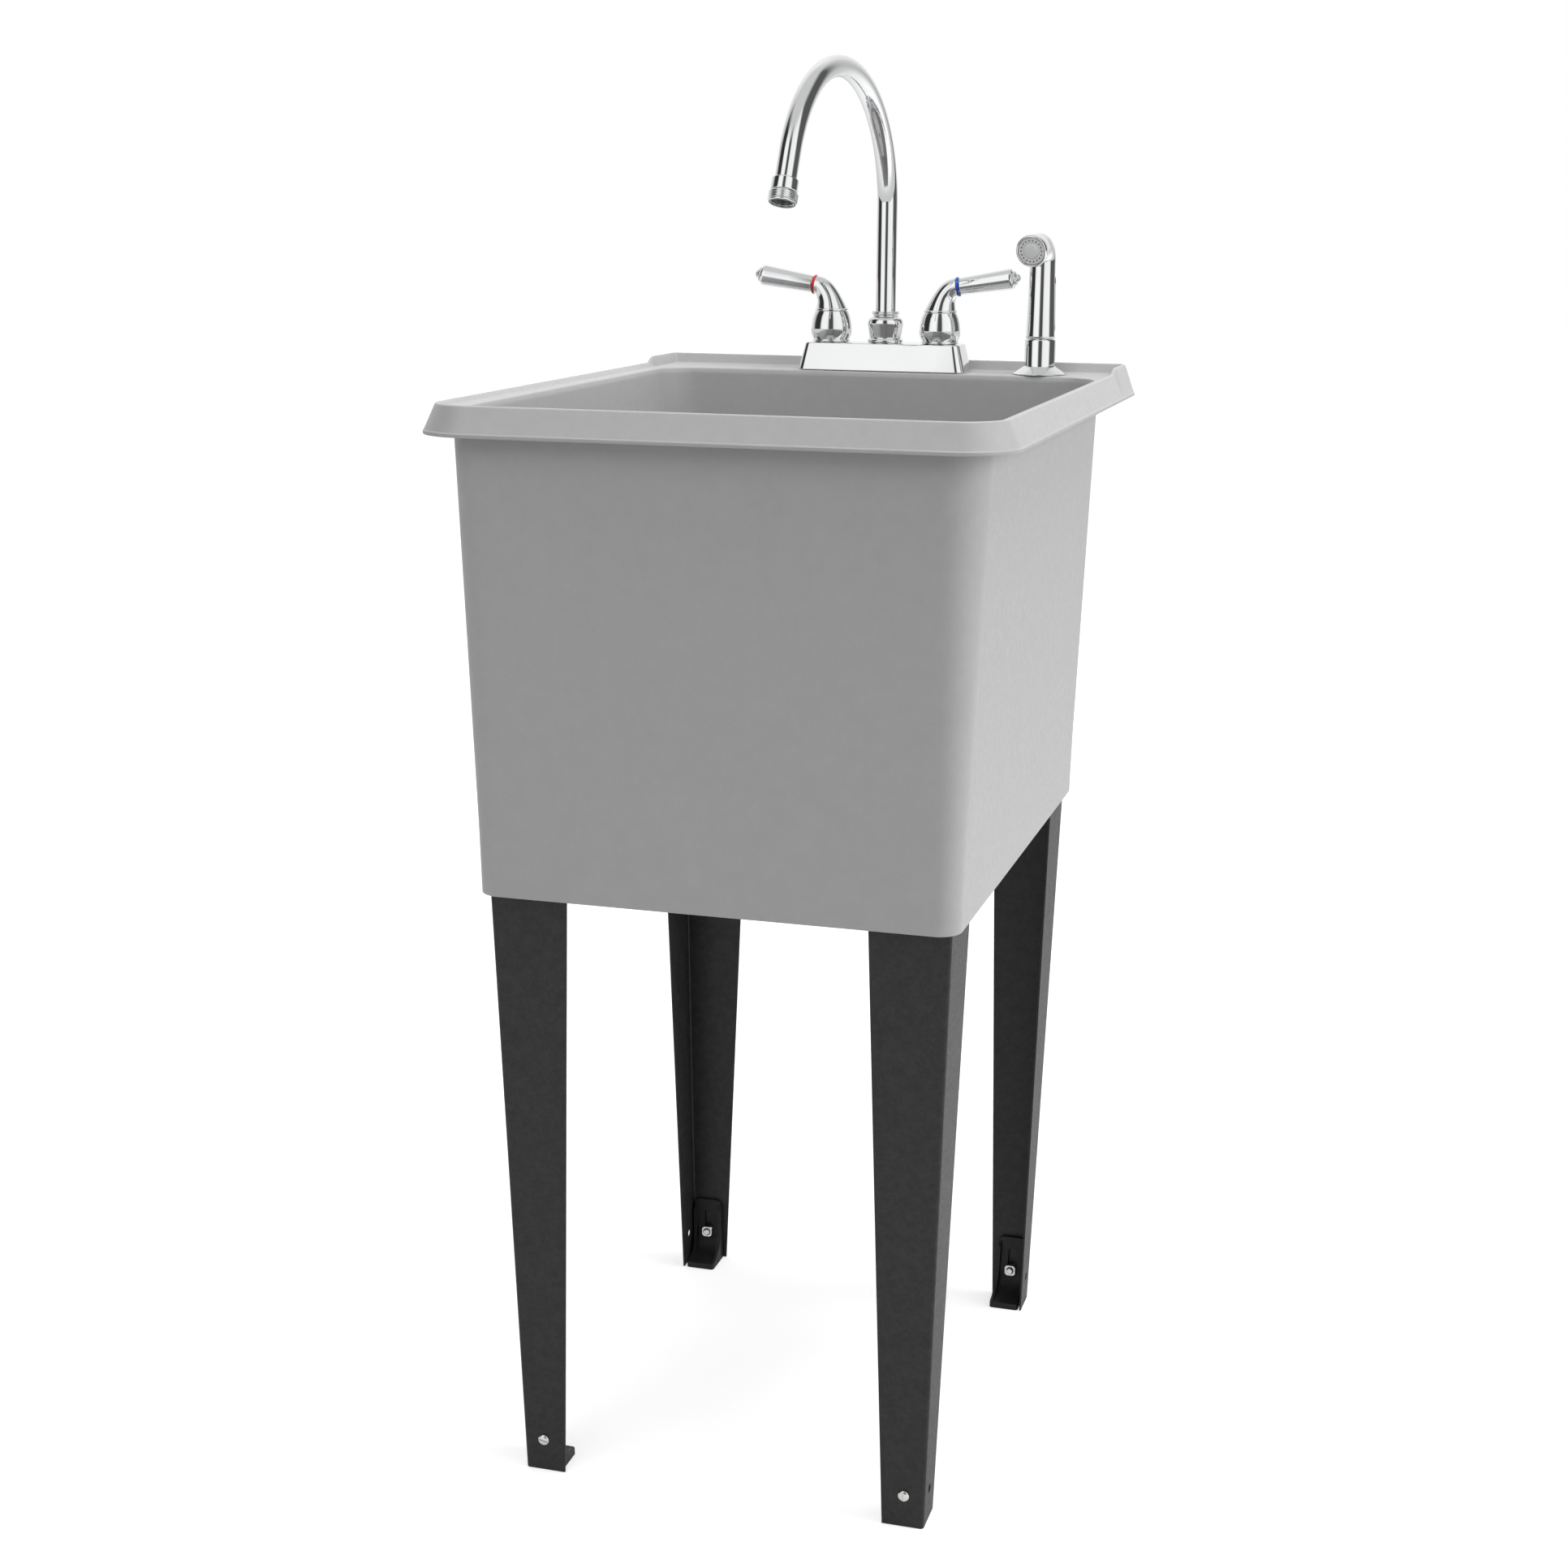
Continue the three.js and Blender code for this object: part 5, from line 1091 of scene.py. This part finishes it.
stopper_profile = [
    (0, -6.3),
    (16, -6.3, 1.0),
    (17.8, -1.3, 1.0),
    (17.8, 2.7, 0.3),
    (25, 2.7, 0.4),
    (25, 5.2, 1.2),
    (20, 6.2, 2.0),
    (8, 7.2, 1.5),
    (4, 9.7, 1.5),
    (4.9, 13.2, 1.5),
    (3.0, 14.7, 1.0),
    (0, 14.9),
]
lathe("stopper_plug", stopper_profile, "stopper", "rubber", replaces="drain_stopper", place=DRAIN)

# ---------------------------------------------------------------- carried-over CAD pieces

for entry in frame["record"]["subparts"]:
    obj = frame["nodes"][entry["node"]]
    obj.data.materials.clear()
    obj.data.materials.append(FINISHES[entry["material_slot"]])

# ---------------------------------------------------------------- floor, light and camera

WHITE, GREY = (1, 1, 1, 1), (0.62, 0.62, 0.62, 1)
VIEWER = -90 + 15.7  # compass direction of the viewer, seen from above
ROOM = [  # direction in degrees from the viewer's side, positive to the right, and brightness
    (-180, 0.95),
    (-140, 0.8),
    (-118, 0.52),
    (-111, 0.12),
    (-104, 0.035),
    (-70, 0.03),
    (-63, 0.85),
    (-52, 1.0),
    (-25, 1.0),
    (-19, 0.5),
    (-14, 0.08),
    (6, 0.07),
    (12, 0.8),
    (20, 0.95),
    (60, 1.0),
    (66, 0.6),
    (73, 0.1),
    (122, 0.1),
    (133, 0.5),
    (150, 0.8),
]


def new_tree(owner):
    """The emptied node tree of a material or world."""
    owner.use_nodes = True
    owner.node_tree.nodes.clear()
    return Tree(owner.node_tree)


def floor():
    """Pale ground that is lifted towards white where the camera sees it, and half as much in mirrors."""
    mesh = bpy.data.meshes.new("floor")
    half = 14.0
    corners = [(-half, -half, 0), (half, -half, 0), (half, half, 0), (-half, half, 0)]
    mesh.from_pydata(corners, [], [(0, 1, 2, 3)])
    obj = bpy.data.objects.new("floor", mesh)
    bpy.context.scene.collection.objects.link(obj)
    material = bpy.data.materials.new("pale_floor")
    n = new_tree(material)
    paint = n.add("ShaderNodeBsdfDiffuse", {"Color": GREY})
    path = n.add("ShaderNodeLightPath").outputs
    coords = n.add("ShaderNodeTexCoord").outputs["Object"]
    away = n.add("ShaderNodeVectorMath", {0: coords}, operation="LENGTH").outputs["Value"]
    level = n.spread(away, 0.6, 0.9, 1.0, 4.0)
    seen = 0.0
    for ray, share in (("Is Camera Ray", 1.0), ("Is Transmission Ray", 1.0), ("Is Glossy Ray", 0.45)):
        seen = n.compute("MULTIPLY_ADD", path[ray], share, seen)
    glow = n.add("ShaderNodeEmission", {"Color": WHITE, "Strength": n.compute("MULTIPLY", seen, level)})
    both = n.add("ShaderNodeAddShader", {0: paint.outputs["BSDF"], 1: glow.outputs["Emission"]})
    n.add("ShaderNodeOutputMaterial", {"Surface": both.outputs["Shader"]})
    mesh.materials.append(material)


def studio():
    """White behind the camera's rays; for the rest a pale room with dark gaps between its soft boxes."""
    world = bpy.data.worlds.new("studio")
    bpy.context.scene.world = world
    n = new_tree(world)
    path = n.add("ShaderNodeLightPath").outputs
    coords = n.add("ShaderNodeTexCoord").outputs["Generated"]
    way = n.add("ShaderNodeSeparateXYZ", {"Vector": coords}).outputs
    bearing = n.spread(n.compute("ARCTAN2", way["Y"], way["X"]), 0.0, 1.0, -math.pi, math.pi)
    bands = n.add("ShaderNodeValToRGB", {"Fac": bearing})
    ramp = bands.color_ramp
    ramp.interpolation = "LINEAR"
    spots = sorted(((VIEWER + degrees + 180) % 360 / 360, level) for degrees, level in ROOM)
    while len(ramp.elements) < len(spots):
        ramp.elements.new(0.5)
    for element, (position, level) in zip(ramp.elements, spots):
        element.position = position
        element.color = (level, level, level, 1)
    ceiling = n.spread(way["Z"], 0.0, 1.0, 0.72, 0.88)  # overhead the room is one even grey
    colours = {"Factor": ceiling, 6: bands.outputs["Color"], 7: GREY}
    room = n.add("ShaderNodeMix", colours, data_type="RGBA").outputs[2]
    soft = n.add("ShaderNodeBackground", {"Color": WHITE, "Strength": 0.33}).outputs[0]
    mirror = n.add("ShaderNodeBackground", {"Color": room}).outputs[0]
    white = n.add("ShaderNodeBackground", {"Color": WHITE}).outputs[0]
    unseen = n.add("ShaderNodeMixShader", {"Fac": path["Is Glossy Ray"], 1: soft, 2: mirror}).outputs[0]
    seen = n.compute("MAXIMUM", path["Is Camera Ray"], path["Is Transmission Ray"])
    both = n.add("ShaderNodeMixShader", {"Fac": seen, 1: unseen, 2: white}).outputs[0]
    n.add("ShaderNodeOutputWorld", {"Surface": both})


def lamp(name, place, target, size, power):
    """A rectangular soft box that faces its target."""
    data = bpy.data.lights.new(name, "AREA")
    data.shape = "RECTANGLE"
    data.size, data.size_y = size
    data.energy = power
    obj = bpy.data.objects.new(name, data)
    bpy.context.scene.collection.objects.link(obj)
    obj.location = place
    obj.rotation_mode = "QUATERNION"
    obj.rotation_quaternion = (Vector(target) - Vector(place)).to_track_quat("-Z", "Y")
    obj.visible_glossy = False  # mirrors see the room of the world instead


def camera():
    """The photograph's viewpoint: front right, a little above the rim."""
    yaw, pitch, roll = (math.radians(a) for a in (16.22, 13.59, 0.41))
    ahead = Vector((-math.sin(yaw) * math.cos(pitch), math.cos(yaw) * math.cos(pitch), -math.sin(pitch)))
    right = Vector((math.cos(yaw), math.sin(yaw), 0))
    up = right.cross(ahead)
    across = right * math.cos(roll) + up * math.sin(roll)
    over = up * math.cos(roll) - right * math.sin(roll)
    data = bpy.data.cameras.new("camera")
    sensor = 36
    data.sensor_width = sensor
    data.lens = 2990.74 / 1932 * sensor  # focal length over picture width, both in pixels
    data.clip_start, data.clip_end = 0.05, 60
    obj = bpy.data.objects.new("camera", data)
    bpy.context.scene.collection.objects.link(obj)
    place = Matrix((across, over, -ahead)).transposed().to_4x4()
    place.translation = (0.54165, -1.92836, 1.0247)
    obj.matrix_world = place
    bpy.context.scene.camera = obj


floor()
studio()
lamp("key_right", (3.1, 0.2, 1.7), (0, 0, 0.7), (2.0, 2.2), 72)
lamp("top", (0.3, 0.1, 3.6), (0, 0, 0.5), (2.4, 2.4), 90)
lamp("front_fill", (-0.6, -2.6, 2.9), (0, 0, 0.8), (2.0, 2.0), 28)
camera()
bpy.context.scene.view_settings.view_transform = "Standard"
